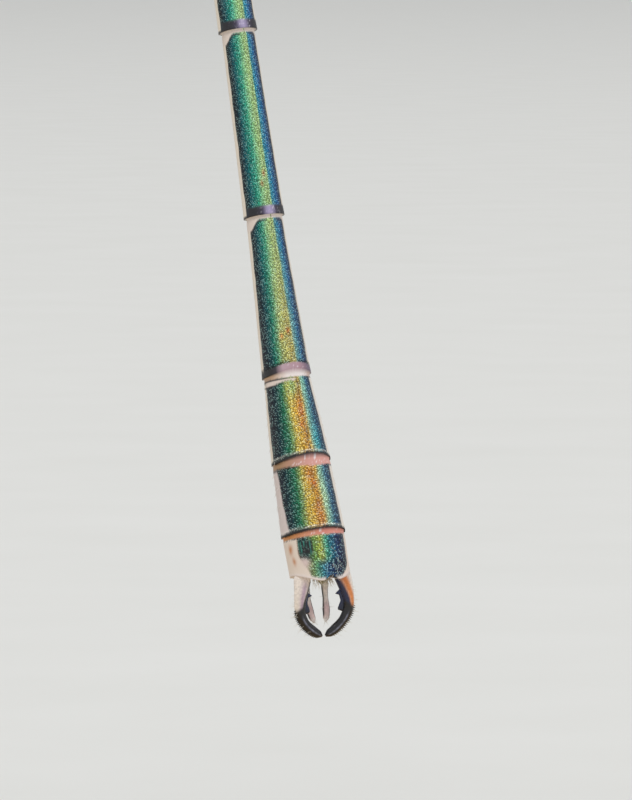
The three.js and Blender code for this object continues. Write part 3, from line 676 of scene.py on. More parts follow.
def paint_slim_joints():
    """Pale bands, dark lines and violet bands of segments 2 to 7, mauve on 7, and painted glints and
    highlights.
    """
    sweep = 0.08 + 0.22 * eased(off, 36, 78)
    slim = (n >= 3) & (n <= 7)
    pale = falling(x, sweep - 0.02, sweep + 0.02) * slim * eased(off, 0.8, 2.0)
    coat.lay("#e2d2c6", pale)
    edge = bell(x, sweep + 0.035, 0.025) * slim * eased(off, 8, 20)
    coat.tint("#0c0a12", edge * coat.metal)
    coat.bare(0.9 * edge)
    dark = falling(left, 0.17, 0.22) * ((n >= 2) & (n <= 6))
    corner = falling(angle, -74, -66) * eased(left, 0.02, 0.06) * (angle < 0)
    # painted highlight: the violet band goes pale lilac along the middle of the back
    coat.tint(ramp(bell(angle, -4, 20.0), VIOLET_WITH_PAINTED_HIGHLIGHT), dark * (1 - corner))
    coat.bare(dark)
    # painted glints: white painted highlights over the pale and dark bands, strongest along the middle of the
    # back
    painted_shimmer = painted_glints(50.0, 31, 80.0, 32, 0.3) * bell(angle, 2, 26.0)
    coat.tint("#e8e2f0", 0.8 * painted_shimmer * np.clip(dark + pale, 0, 1))
    # segment 7 has a mauve band with a black line over it, black on the left, and painted glints on the band
    mauve = falling(left, 0.12, 0.15) * (n == 7)
    coat.lay(ramp(angle, MAUVE), mauve)
    coat.tint("#f0e6ee", 0.7 * painted_shimmer * mauve)
    coat.tint("#0d0a10", bell(left, 0.165, 0.022) * (n == 7) * eased(off, 4, 14))


def paint_broad_joints():
    """Pink or orange bands with painted glints at the front of segments 8 to 10, white and black lines behind 8
    and 9.
    """
    for number, (wide, stops) in FRONTS.items():
        wide = wide + 0.035 * (number == 9) * bell(angle, 8, 30)
        band = falling(x, wide - 0.015, wide + 0.015) * (n == number)
        coat.lay(ramp(angle, stops), band)
        # painted glints: small white painted highlights on the band
        coat.tint("#f6ecee", 0.8 * painted_glints(60.0, 11 + number, 90.0, 21 + number, 0.4) * (off < 40) * band)
        under = bell(x, wide + 0.02, 0.016 + 0.014 * (angle < -45)) * (n == number)
        coat.tint("#1a1016", 0.85 * under * np.maximum(eased(off, 22, 36), 0.5 * (number == 10)))
    # segment 8 has a second pale band at its left front, between two dark seams
    bottom = 0.15 + 0.05 * falling(angle, -66, -25)
    second = (n == 8) * eased(x, 0.1, 0.115) * falling(x, bottom - 0.01, bottom + 0.01)
    coat.lay("#e0cfc4", second * eased(angle, -90, -86) * falling(angle, -5, 3))
    for at in (0.088, bottom + 0.018):
        coat.lay("#120d12", (n == 8) * bell(x, at, 0.012) * falling(angle, -12, 0), 0.9)
    wedge = (n == 7) * falling(left, 0.1, 0.22) * falling(angle, -66, -44) * eased(angle, -84, -76)
    coat.tint("#0b090e", wedge)
    both, thick = (n == 8) | (n == 9), 0.026 + 0.03 * falling(angle, -50, -20)
    coat.tint("#e9e6da", 0.8 * both * bell(left, thick + 0.026, 0.014))
    coat.lay("#08070c", both * falling(left, thick, thick + 0.012))


paint_slim_joints()
paint_broad_joints()
print("share left after the joints:", coat.metal.mean().round(3))

# %% [markdown]
# Segment 10 is a shield of gold and green in the middle and navy at the right, on cream; the navy at the right
# is painted sheen, as on the segments before it. At its left it has a black ribbed patch, a pale spot and two
# rust-brown ones.

# %% Colours of the last segment
# painted sheen: the navy to the right of the gold and green shield paints how the metal looks under the lamps
SHIELD_FRONT = [
    (-66, "#e6d6c4"), (-58, "#d8b79c"), (-53, "#12222c"), (-38, "#134a48"), (-24, "#7ea850"),
    (-12, "#b9bf56"), (-2, "#4fae8c"), (8, "#1d6f84"), (22, "#122e5c"), (50, "#0c1832"),
    (60, "#101426"), (64, "#e9dfd2"),
]
SHIELD_REAR = [
    (-60, "#e6d6c4"), (-46, "#cbb4a8"), (-34, "#8fa06a"), (-24, "#5f9c72"), (-12, "#2a7f92"),
    (-2, "#1c4c7c"), (12, "#101f44"), (60, "#0c1226"),
]


def paint_last():
    """Shield, ribbed patch, spots and pale rear edge of segment 10."""
    last = (n == 10).astype(float)
    inside, low = last * eased(x, 0.085, 0.105), last * eased(x, 0.46, 0.6)
    left_edge, right_edge = -56 + 20 * eased(x, 0.42, 0.84), 48 - 30 * eased(x, 0.62, 0.88)
    shield = eased(angle, left_edge - 2, left_edge + 2) * falling(angle, right_edge - 2, right_edge + 3)
    coat.tint("#e6d6c8", inside)
    coat.tint(ramp(angle, SHIELD_FRONT), inside * shield)
    coat.bare(inside)
    coat.metal = coat.metal + inside * shield
    coat.tint(ramp(angle, SHIELD_REAR), low * coat.metal)
    ribs = 0.5 + 0.5 * np.sin(angle * 1.15)
    patch = last * eased(angle, -57, -52) * falling(angle, -30, -24)
    patch *= eased(x, 0.13, 0.2) * falling(x, 0.38, 0.46)
    coat.tint(ramp(ribs, [(0, "#05060a"), (0.8, "#07121a"), (1, "#2f8a7c")]), patch)
    coat.bare(0.7 * patch)
    coat.lay("#dcc6c0", last * spot(0.55, -46, 0.07, 9))
    coat.bare(low * falling(angle, -44, -34))
    coat.lay("#c07a44", last * np.clip(spot(0.3, -76, 0.1, 6) + 0.9 * spot(0.55, -72, 0.08, 5), 0, 1))
    coat.lay("#e9dcd6", last * falling(left, 0.04, 0.08) * eased(off, 8, 14))


MEAN_RADIUS, RIPPLE_SLANT, SLANT_AT = 0.62, 0.26, 60
paint_last()
along_mm = np.concatenate([[0], np.cumsum(np.linalg.norm(np.diff(centres, axis=0), axis=1))])
slant = RIPPLE_SLANT * (np.abs(phi) / SLANT_AT) ** 1.5
round_mm = np.radians(phi)[None, :] * MEAN_RADIUS * np.ones((len(centres), 1))
skin = loft(rings, uv=np.stack([round_mm, along_mm[:, None] + slant], -1), tags=coat.tags())
piece("abdomen_skin", skin, INSECT, cuticle, [f"abdomen_{k:02d}" for k in range(1, 11)])

# %% [markdown]
# ## The forceps
# A male carries a pair of curved claspers, the cerci, behind his last segment, with two short plates, the
# paraprocts, under and between them. Each cercus is one tube whose width follows the real outline, pale at
# the base and black beyond the middle, with a thin dark blade on its inner side that ends in a tooth.

# %% Cerci
CERCUS_LINE = [
    # out from the middle, above the body's axis, behind segment 10
    (0.33, 0.1, -0.16), (0.43, 0.13, 0.06), (0.49, 0.12, 0.34), (0.535, 0.06, 0.6), (0.52, -0.03, 0.82),
    (0.42, -0.12, 1.02), (0.24, -0.2, 1.19), (0.04, -0.26, 1.31),
]
CERCUS_WIDTH = [(0, 0.13), (0.1, 0.17), (0.17, 0.19), (0.28, 0.165), (0.45, 0.125), (0.6, 0.115),
                (0.72, 0.105), (0.86, 0.11), (0.95, 0.09), (1, 0.03)]
BLADE_EDGE = [(0.08, 0.02), (0.2, 0.08), (0.38, 0.13), (0.46, 0.245), (0.49, 0.16), (0.62, 0.15), (0.76, 0.2),
              (0.8, 0.19), (0.85, 0.05), (0.88, 0.01)]
ARM_REACH = {-1: 1.06, 1: 1.04}
ARM_STEPS, ARM_SIDES, ARM_FLAT = 70, 40, 0.8
BLADE_SIDES, BLADE_HALF_THICK, TEETH = 20, 0.035, 20


def tail_point(out, above, behind):
    """A point of the forceps' own frame from its places out, above and behind."""
    return np.stack([out, -np.asarray(above), -np.asarray(behind)], -1)


def forceps_path(line, side, count, reach=1.0):
    """A smooth path on one side through places out, above and behind."""
    out, above, behind = np.array(line).T
    return curve_through(tail_point(side * reach * out, above, behind), count)


def arm_coat(side, s, outer):
    """Cream, with mauve on the left arm and a slanting orange stripe on the right one, and black beyond with a
    painted highlight.
    """
    coat = Coat(np.tile(linear("#efe2d6"), (len(s), 1)))
    if side < 0:
        coat.tint("#b99fb0", bell(outer, -0.1, 0.4) * eased(s, 0.12, 0.3))
        coat.tint("#15111b", falling(outer - 1.6 * (s - 0.3), -0.7, -0.45) * eased(s, 0.14, 0.2))
    else:
        middle = -0.45 + 2.3 * (s - 0.08)
        coat.tint("#17234a", falling(outer - middle, -0.5, -0.3) * eased(s, 0.12, 0.18))
        coat.tint("#d98242", np.exp(-(((outer - middle) / 0.45) ** 4)) * eased(s, 0.07, 0.12))
    tip = eased(s - 0.04 * outer, 0.46, 0.52)
    coat.tint("#0a090f", tip)
    # painted highlight: a pale streak along the middle of the black, broken up along its length
    painted_arm_highlight = tip * bell(outer, -0.1, 0.13) * eased(s, 0.56, 0.66) * falling(s, 0.93, 0.99)
    coat.tint("#a3a6bd", 0.75 * painted_arm_highlight * (0.65 + 0.35 * np.sin(70 * s) * np.sin(31 * s + 1)))
    return {"paint": coat.colour}


def blade_shape(side):
    """The thin blade inside an arm: flat sections between the arm and the tooth's outline."""
    edge, line = np.array(BLADE_EDGE), np.array(CERCUS_LINE)
    back = np.linspace(edge[0, 0], edge[-1, 0], ARM_STEPS)
    half = np.interp(back, edge[:, 0], edge[:, 1])[:, None] / 2
    root = (ARM_REACH[side] * np.interp(back, line[:, 2], line[:, 0]) - 0.03)[:, None]
    height = (np.interp(back, line[:, 2], line[:, 1]) - 0.02)[:, None]
    turn = round_angles(BLADE_SIDES)[None, :]
    out = root - half + half * np.cos(turn)
    rings = tail_point(side * out, height + BLADE_HALF_THICK * np.sin(turn), back[:, None] + 0 * turn)
    shares = np.repeat(np.linspace(0, 1, ARM_STEPS)[:, None], BLADE_SIDES, 1)
    shade = ramp(shares, [(0, "#2a1c26"), (0.3, "#1b2a56"), (0.8, "#121d3e"), (1, "#08090f")])
    return loft(rings, tags={"paint": shade})


def cercus(word, side):
    """One arm of the forceps, with its blade and its outer teeth."""
    path, s = forceps_path(CERCUS_LINE, side, ARM_STEPS, ARM_REACH[side]), np.linspace(0, 1, ARM_STEPS)
    width = between(CERCUS_WIDTH, ARM_STEPS)
    arm = tube(path, width, ARM_SIDES, flat=ARM_FLAT)
    arm["tags"] = arm_coat(side, arm["tags"]["share"][:, 0], -side * np.sin(arm["tags"]["round"][:, 0]))
    teeth_at = np.linspace(0.5, 0.97, TEETH)
    roots = np.stack([np.interp(teeth_at, s, path[:, k]) for k in range(3)], 1)
    out = np.array([side, 0, -0.5]) / 1.12
    roots = roots + out * (np.interp(teeth_at, s, width) * ARM_FLAT)[:, None]
    teeth = hairs(roots, np.tile(out, (TEETH, 1)), 0.07, 0.026, bend=0.05, steps=3)
    shape = merged([arm, blade_shape(side), coloured(teeth, "#07070b")])
    piece(f"{word}_cercus_skin", shape, FORCEPS, horn, [f"cercus_{word}"])


for word, side in BOTH.items():
    cercus(word, side)

# %% [markdown]
# The paraprocts are softer and nearly white, with dark edges. Between the roots of all four sits a small
# olive knob, which holds the end of the gut.

# %% Paraprocts
PARAPROCT_LINE = [(0.22, -0.3, -0.05), (0.21, -0.36, 0.25), (0.2, -0.38, 0.55), (0.18, -0.38, 0.8),
                  (0.13, -0.36, 1.0)]
PARAPROCT_WIDTH = [(0, 0.1), (0.2, 0.08), (0.5, 0.062), (0.75, 0.085), (0.92, 0.07), (1, 0.02)]
PARAPROCT_COLOURS = [(0, "#e8ddd0"), (0.5, "#f4ece4"), (0.68, "#e6c6c6"), (0.88, "#ecd2cc"), (1, "#fbf4ee")]
PLATE_STEPS, PLATE_SIDES = 40, 24


def paraproct(word, side):
    """One plate between the arms, nearly white with dark edges."""
    path = forceps_path(PARAPROCT_LINE, side, PLATE_STEPS)
    blade = tube(path, between(PARAPROCT_WIDTH, PLATE_STEPS), PLATE_SIDES, flat=0.6)
    s, around = blade["tags"]["share"][:, 0], blade["tags"]["round"][:, 0]
    coat = Coat(ramp(s, PARAPROCT_COLOURS))
    coat.tint("#17121a", eased(np.abs(np.sin(around)), 0.6, 0.85) * falling(s, 0.85, 0.97))
    blade["tags"] = {"paint": coat.colour}
    piece(f"{word}_paraproct_skin", blade, FORCEPS, soft_skin, [f"paraproct_{word}"])


for word, side in BOTH.items():
    paraproct(word, side)

# %% [markdown]
# ## Hairs and teeth of the tail
# Up close the tail bristles: a comb of black teeth edges segments 8 and 9, white hairs cross segment 10, and
# finer ones fringe the forceps. Each is a thin tapered mesh, as thick as it needs to be to show.

# %% Combs and hairs
COMB_TEETH, CROSSING, FLANK_HAIRS, FRINGE, TUFT = 70, 14, 60, 60, 60
ROOT_DEPTH = 0.01
KNOB_LINE = [(-0.04, -0.2, 0.1), (-0.05, -0.2, -0.1), (-0.06, -0.18, -0.25)]
KNOB_RADII = [0.15, 0.15, 0.15, 0.15, 0.14, 0.14, 0.13, 0.12, 0.1, 0.08, 0.05, 0.02]


def on_abdomen(number, x, angle_at):
    """Points, outward ways and rearward ways on the skin of a segment."""
    rows = np.flatnonzero(numbers == number)
    i = rows[np.clip(np.searchsorted(places[rows], x), 0, len(rows) - 1)]
    j = (np.round((np.asarray(angle_at) + 180) / 360 * SIDES).astype(int)) % SIDES
    tilt = math.radians(ABDOMEN[number - 1][-1])
    rearward = np.tile([0, -math.sin(tilt), -math.cos(tilt)], (len(i), 1))
    return rings[i, j], unit(rings[i, j] - centres[i]), rearward


combs = []
for number in (8, 9):
    edge = np.full(COMB_TEETH, ABDOMEN[number - 1][0] - 0.015)
    points, outward, rearward = on_abdomen(number, edge, np.linspace(-84, 84, COMB_TEETH))
    combs.append(hairs(points - 0.008 * outward, rearward + 0.05 * outward, 0.035, 0.009, bend=0.05, steps=3))
piece("tail_combs", coloured(merged(combs), "#08070b"), INSECT, horn)

around = rng.uniform(0, 46, CROSSING)
points, outward, rearward = on_abdomen(10, rng.uniform(0.2, 0.8, CROSSING), around)
ways = rearward + 0.35 * outward + np.cross(outward, rearward) * rng.normal(0, 0.8, (CROSSING, 1))
lengths = rng.uniform(0.12, 0.25, CROSSING)
white_hairs = [hairs(points - ROOT_DEPTH * outward, ways, lengths, 0.0045, bend=0.2)]
for number, low, high in ((8, 0.1, 1.9), (9, 0.1, 1.3)):
    around = np.concatenate([rng.uniform(-170, -80, FLANK_HAIRS), rng.uniform(68, 170, FLANK_HAIRS)])
    points, outward, rearward = on_abdomen(number, rng.uniform(low, high, 2 * FLANK_HAIRS), around)
    lengths = rng.uniform(0.06, 0.14, 2 * FLANK_HAIRS)
    white_hairs.append(hairs(points - ROOT_DEPTH * outward, rearward + 0.5 * outward, lengths, 0.006))
piece("tail_hairs", coloured(merged(white_hairs), "#e9e4dc"), INSECT, soft_skin)

fringe = []
for side in BOTH.values():
    path, at = forceps_path(CERCUS_LINE, side, FRINGE, ARM_REACH[side]), rng.integers(8, 58, FRINGE)
    out = np.column_stack([np.full(FRINGE, side), rng.normal(0, 0.5, FRINGE), rng.uniform(-0.9, 0.1, FRINGE)])
    fringe.append(hairs(path[at] + unit(out) * 0.08, unit(out), rng.uniform(0.08, 0.2, FRINGE), 0.005))
    path, at = forceps_path(PARAPROCT_LINE, side, PLATE_STEPS), rng.integers(12, 40, 30)
    out = np.column_stack([rng.normal(0, 0.7, 30), rng.normal(0, 0.5, 30), rng.uniform(-1.2, -0.2, 30)])
    fringe.append(hairs(path[at], out, rng.uniform(0.1, 0.2, 30), 0.006))
roots = tail_point(rng.uniform(-0.22, 0.16, TUFT), rng.uniform(0.05, 0.3, TUFT), np.full(TUFT, 0.12))
fringe.append(hairs(roots, np.array([0, -0.25, -1.0]) + rng.normal(0, 0.3, (TUFT, 3)), 0.22, 0.008))
piece("forceps_hairs", coloured(merged(fringe), "#e6dfcf"), FORCEPS, soft_skin)
knob = tube(curve_through(KNOB_LINE, len(KNOB_RADII)), KNOB_RADII, PLATE_SIDES, flat=0.8)
piece("tail_knob", coloured(knob, "#8f8452"), FORCEPS, soft_skin)

# %% [markdown]
# ## Melted skins
# Body and head are made of lumps that have to flow into each other. The lumps are run together with small
# cubes and smoothed, so that no edge is left where they meet.

# %% Sections and melted skins
HALF_SMOOTH, BELLY_PINCH = 0.5, 0.85


def at_stations(rows, at):
    """The sizes of a row of stations, eased between them; the first column is the place."""
    rows, at = np.array(rows, float), np.asarray(at, float)
    place = rows[:, 0]
    slopes = np.gradient(rows, place, axis=0)
    i = np.clip(np.searchsorted(place, at, side="right") - 1, 0, len(place) - 2)
    span = (place[i + 1] - place[i])[:, None]
    t = np.clip((at - place[i])[:, None] / span, 0, 1)
    start = rows[i] * (2 * t**3 - 3 * t**2 + 1) + slopes[i] * span * (t**3 - 2 * t**2 + t)
    return start + rows[i + 1] * (3 * t**2 - 2 * t**3) + slopes[i + 1] * span * (t**3 - t**2)


def sectioned(rows, sides=96, step=0.08):
    """A body of egg-shaped sections along +Z with its back towards -Y."""
    at = np.arange(rows[0][0], rows[-1][0], step)
    _, half, above, below, pinch = at_stations(rows, at).T[:, :, None]
    turn = np.linspace(-np.pi, np.pi, sides, endpoint=False)[None, :]
    s, c = np.sin(turn), np.cos(turn)
    x = half * np.sign(s) * np.abs(s) ** np.where(c > 0, pinch, BELLY_PINCH)
    y = -np.where(c > 0, above, below) * c
    return loft(np.stack([x, y, np.repeat(at[:, None], sides, 1)], -1))


def melted(shapes, cube, smoothing):
    """Closed shapes run together into one skin of small cubes, then smoothed."""
    whole = merged(shapes)
    mesh = bpy.data.meshes.new("melt")
    mesh.from_pydata(whole["points"], [], [tuple(f) for key in ("quads", "tris") for f in whole[key]])
    rough = bpy.data.objects.new("melt", mesh)
    bpy.context.scene.collection.objects.link(rough)
    cubes = rough.modifiers.new("cubes", "REMESH")
    cubes.mode, cubes.voxel_size = "VOXEL", cube
    soft = rough.modifiers.new("soft", "SMOOTH")
    soft.factor, soft.iterations = HALF_SMOOTH, smoothing
    made = rough.evaluated_get(bpy.context.evaluated_depsgraph_get()).to_mesh()
    points, normals = np.empty((2, 3 * len(made.vertices)))
    corners = np.empty(len(made.loops), int)
    made.vertices.foreach_get("co", points)
    made.vertices.foreach_get("normal", normals)
    made.loops.foreach_get("vertex_index", corners)
    rough.to_mesh_clear()
    bpy.data.objects.remove(rough)
    bpy.data.meshes.remove(mesh)
    return {"points": points.reshape(-1, 3), "normals": normals.reshape(-1, 3),
            "quads": corners.reshape(-1, 4), "tris": np.zeros((0, 3), int)}


def skinned(name, skin, coat, radius, place, nodes):
    """A piece from a melted skin, with its corner uv in millimetres round the long axis and along it."""
    points, quads = skin["points"], skin["quads"]
    turn = np.arctan2(points[:, 0], -points[:, 1])[quads]
    turn = np.where(turn - turn[:, :1] > np.pi, turn - 2 * np.pi, turn)
    turn = np.where(turn - turn[:, :1] < -np.pi, turn + 2 * np.pi, turn)
    skin["quad_uv"] = np.stack([turn * radius, points[:, 2][quads]], -1)
    skin["tags"] = coat.tags()
    piece(name, skin, place, cuticle, nodes)


# %% [markdown]
# ## Thorax
# The box of muscle that carries the wings leans back, with a sharp ridge down its middle. The skin starts
# from the same sections as the solids, with lumps for hips and wing roots. The willow emerald is green
# above with a thin pale shoulder stripe, and a green spur runs down into the cream of its side.

# %% Thorax skin
THORAX_ROWS = [
    # along, half width, above, below, pinch of the back
    (0.0, 0.55, 0.56, 0.56, 1.0), (0.18, 0.58, 0.6, 0.6, 1.0), (0.5, 0.86, 1.0, 0.85, 0.95),
    (1.5, 1.08, 1.38, 1.15, 0.9), (2.6, 1.2, 1.55, 1.42, 1.05), (3.6, 1.18, 1.3, 1.42, 1.2),
    (4.4, 0.98, 0.92, 1.15, 1.2), (4.9, 0.62, 0.55, 0.72, 1.0),
]
PROTHORAX_ROWS = [
    (5.1, 0.55, 0.48, 0.52, 0.9), (5.5, 0.72, 0.66, 0.7, 0.9), (5.9, 0.66, 0.62, 0.62, 0.9),
    (6.15, 0.42, 0.42, 0.45, 1.0), (6.3, 0.3, 0.3, 0.32, 1.0),
]
NECK_PATH, NECK_RADII = [(0, 0, 4.3), (0, 0, 5.2), (0, 0, 6.2), (0, 0.05, 6.75)], [0.5, 0.42, 0.26, 0.24]
HIPS = {"fore": (0.42, 1.0, 5.55), "mid": (0.52, 1.62, 4.0), "hind": (0.55, 1.62, 2.85)}
WING_ROOTS = {"forewing": (0.95, 1.62, 2.65), "hindwing": (0.98, 1.42, 1.25)}
GREENS = [(0, "#3f7f45"), (10, "#1f7a52"), (24, "#2f8a4c"), (34, "#6f8f45"), (44, "#23795a"), (60, "#17634f"),
          (90, "#155646")]
CREAMS = [(90, "#d8cf9e"), (120, "#e3d9b8"), (150, "#cfc0a8"), (180, "#8f8474")]
SEAMS = ((3.3, 0.014, 95), (2.05, 0.016, 105), (1.2, 0.012, 100))  # along, slope, first degree
SEAM_DEPTH = 0.03


def thorax_lumps():
    """Sections of thorax and neck segment, the neck, and lumps for hips and wing roots."""
    lumps = [sectioned(THORAX_ROWS), sectioned(PROTHORAX_ROWS), tube(NECK_PATH, NECK_RADII, 32)]
    for side in BOTH.values():
        for out, below, along in HIPS.values():
            lumps.append(ball((side * out, below - 0.5, along), (0.3, 0.5, 0.33)))
            lumps.append(ball((side * out * 1.02, below - 0.08, along), (0.2, 0.2, 0.2)))
        for out, above, along in WING_ROOTS.values():
            lumps.append(ball((side * (out - 0.36), 0.3 - above, along), (0.42, 0.36, 0.5)))
            lumps.append(ball((side * (out - 0.1), -above, along), (0.3, 0.18, 0.3)))
    return lumps


def thorax_coat(skin):
    """Green above and cream below, with stripe, ridge, sunken seams, wing sockets and soft joints."""
    x, y, z = skin["points"].T
    turn = np.abs(np.degrees(np.arctan2(x, -y)))
    coat = Coat(ramp(turn, GREENS))
    spur = 88 + 16 * bell(z, 2.1, 0.45) - 10 * eased(z, 3.4, 4.8)
    coat.lay(ramp(turn, CREAMS), eased(turn, spur, spur + 3))
    stripe = bell(turn, 50, 2.2) * eased(z, 2.3, 2.9) * falling(z, 4.3, 4.7)
    coat.tint("#d8cc7a", np.clip(1.4 * stripe, 0, 1))
    coat.bare(stripe)
    coat.tint("#101408", falling(turn, 1.2, 2.6) * eased(z, 2.9, 3.1) * (z < 4.9))
    for place, slope, low in SEAMS:
        seam = bell(z, place + slope * (turn - 120), 0.05) * eased(turn, low, low + 4)
        seam *= falling(turn, 150, 158) * (z < 4.9)
        coat.tint("#2a2118", 0.8 * seam)
        skin["points"] -= skin["normals"] * SEAM_DEPTH * seam[:, None]
    socket = falling(turn, 30, 44) * eased(z, 0.7, 0.95) * falling(z, 2.9, 3.1)
    coat.lay("#a3a58a", socket, 0.85)
    coat.tint("#3a372c", socket * eased(np.abs(np.sin(z * 5.2)), 0.93, 0.99))
    coat.lay("#cbb9a0", np.clip(falling(np.abs(z - 5.02), 0.06, 0.12) + eased(z, 6.1, 6.3), 0, 1))
    return coat


skin = melted(thorax_lumps(), 0.04, 4)
skinned("thorax_skin", skin, thorax_coat(skin), 1.0, THORAX, ["thorax", "prothorax"])

# %% [markdown]
# ## Head
# A damselfly's head is a dumb-bell: two eyes far apart with a narrow skull between. Above are three simple
# eyes and the short feelers, and in front a ridge, the shield over the mouth and the pale upper lip. It gets
# more small forms than the rest because it is where people look first.

# %% Head skin
FACE_SHAPES = [
    # centre, radii
    ((0, 0, 0), (1.62, 0.78, 0.62)), ((0, 0.1, 0.42), (0.86, 0.62, 0.5)),
    ((0, -0.66, 0.12), (0.62, 0.24, 0.34)), ((0, -0.3, 0.56), (0.78, 0.24, 0.24)),
    ((0, 0.2, 0.8), (0.5, 0.2, 0.18)), ((0, 0.42, 0.82), (0.46, 0.12, 0.13)),
    ((0, 0.66, 0.78), (0.44, 0.22, 0.2)), ((0.46, 0.62, 0.6), (0.24, 0.32, 0.24)),
    ((-0.46, 0.62, 0.6), (0.24, 0.32, 0.24)), ((0, 0.98, 0.34), (0.42, 0.3, 0.46)),
    ((0.26, 1.1, 0.62), (0.17, 0.15, 0.2)), ((-0.26, 1.1, 0.62), (0.17, 0.15, 0.2)),
    ((0.48, -0.55, 0.82), (0.15, 0.13, 0.15)), ((-0.48, -0.55, 0.82), (0.15, 0.13, 0.15)),
    ((0, 0.7, 0.1), (0.5, 0.5, 0.45)),
]
SKULL = [(-1, "#1f7a52"), (-0.6, "#2b8650"), (-0.2, "#5b8a48"), (0.1, "#1d6a50"), (0.4, "#155244")]
LIPS = [(0.5, "#8fb0a0"), (0.62, "#d9d6b0"), (0.85, "#dccfa6"), (1.0, "#cdb795"), (1.3, "#a58c74")]


def head_coat(skin):
    """Green skull, a black line over the pale upper lip, cream cheeks, grooves, and a black back."""
    x, y, z = skin["points"].T
    coat, front = Coat(ramp(y, SKULL)), eased(z, 0.05, 0.3)
    coat.tint("#0a0c0b", bell(y, 0.41, 0.07) * front * (np.abs(x) < 0.62))
    coat.lay(ramp(y, LIPS), eased(y, 0.47, 0.51))
    coat.lay("#dcd0a0", eased(np.abs(x), 0.74, 0.84) * eased(y, 0.1, 0.3))
    for groove, wide in ((0.905, 0.022), (0.52, 0.016)):
        coat.tint("#120d0a", bell(y, groove, wide) * front)
    behind = falling(z, -0.32, -0.12)
    coat.tint("#14130f", behind)
    coat.bare(0.8 * behind)
    return coat


skin = melted([ball(centre, radii) for centre, radii in FACE_SHAPES], 0.035, 3)
skinned("head_skin", skin, head_coat(skin), 0.8, HEAD, ["head", "mouthparts"])

# %% [markdown]
# ## Eyes
# Each eye is a smooth bulb of thousands of tiny lenses, about 0.02 mm across, drawn here at 0.035 mm so that
# they still show. It is brown above and pale below, with a clear shine over it all. The three simple eyes are
# amber beads.

# %% Eyes and simple eyes
EYE_PLACE, EYE_RADII, LENS_MM, LENS_DEPTH_MM = (1.66, 0.02, -0.05), (0.78, 0.98, 0.84), 0.035, 0.008
EYE_COLOURS = [(-1, "#2b1d16"), (-0.35, "#4a3324"), (0.0, "#6d6a4c"), (0.3, "#9bb08a"), (1, "#c4cfae")]
BEADS, BEAD_RADII = ((0, -0.66, 0.62), (0.24, -0.86, 0.3), (-0.24, -0.86, 0.3)), (0.085, 0.06, 0.085)


def lens_material():
    """Clear lenses over dark pigment: a wet shine that the tiny domes break up."""
    made, tree = new_material("faceted_chitin_lenses")
    place = node(tree, "ShaderNodeTexCoord").outputs["Object"]
    cells = node(tree, "ShaderNodeTexVoronoi", {"feature": "F1"}, Vector=place, Scale=1 / (LENS_MM * MM),
                 Randomness=0.25)
    dome = maths(tree, "SUBTRACT", 1.0, cells.outputs["Distance"])
    surfaced(tree, Base_Color=painted(tree), Roughness=0.25, IOR=1.5,
             Normal=bumped(tree, dome, 0.35, LENS_DEPTH_MM), Coat_Weight=0.6, Coat_Roughness=0.06)
    return made


lenses = lens_material()
for word, side in BOTH.items():
    eye = ball((side * EYE_PLACE[0], *EYE_PLACE[1:]), EYE_RADII, 128, 80)
    height = (eye["points"][:, 1] - EYE_PLACE[1]) / EYE_RADII[1]
    eye["tags"] = {"paint": ramp(height + 0.04 * np.sin(9 * eye["points"][:, 2]), EYE_COLOURS)}
    piece(f"{word}_eye_bulb", eye, HEAD, lenses, [f"eye_{word}"])
beads = merged([ball(centre, BEAD_RADII, 20, 12) for centre in BEADS])
piece("simple_eyes", coloured(beads, "#8a6a3a"), HEAD, lenses)

# %% [markdown]
# A feeler is two thick joints and a whip as fine as a hair.

# %% Feelers
FEELER_LENGTH, FEELER_SIDES, FEELER_STEPS = 2.1, 20, 60
FEELER_RADII = [(0, 0.12), (0.12, 0.13), (0.17, 0.1), (0.2, 0.08), (0.36, 0.075), (0.4, 0.05), (0.44, 0.035),
                (1, 0.012)]
FEELER_COLOURS = [(0, "#1a1712"), (0.35, "#2a241c"), (0.42, "#14110d"), (1, "#0c0a08")]
for word, side in BOTH.items():
    foot, way = np.array([side * 0.5, -0.62, 0.98]), unit(np.array([side * 0.55, -0.2, 0.85]))
    tip = foot + way * FEELER_LENGTH + np.array([side * 0.2, -0.1, -0.15])
    path = curve_through([foot - 0.25 * way, foot + 0.5 * way, foot + 1.2 * way, tip], FEELER_STEPS)
    feeler = tube(path, between(FEELER_RADII, FEELER_STEPS), FEELER_SIDES)
    feeler["tags"] = {"paint": ramp(feeler["tags"]["share"][:, 0], FEELER_COLOURS)}
    piece(f"{word}_feeler", feeler, HEAD, horn, [f"antenna_{word}"])

# %% [markdown]
# ## Legs
# Six thin legs hold the stem. Thigh and shin are cream with a black line down the outer side, and carry two
# rows of stiff black bristles, which the living insect uses as a basket for catching flies. The foot has
# three joints and two hooked claws that curl round the stem.

# %% Places beside the stem
STEM_RADIUS, STEM_LEAN = 1.0, 16.0
STEM_AXIS = np.array([math.sin(math.radians(STEM_LEAN)), 0, math.cos(math.radians(STEM_LEAN))])
GRIP = np.array([0, WAIST_FORWARD + 6.0, WAIST_HEIGHT + 2.5])
TOWARD = np.array([0, -1.0, 0])


def beside_stem(up, around, distance):
    """World points beside the stem: up it from the grip and round it from the side that faces the insect."""
    a, up, distance = (np.asarray(value, float)[..., None] for value in (np.radians(around), up, distance))
    return GRIP + up * STEM_AXIS + (np.cos(a) * TOWARD + np.sin(a) * np.cross(STEM_AXIS, TOWARD)) * distance


print("grip in mm:", GRIP.round(2))

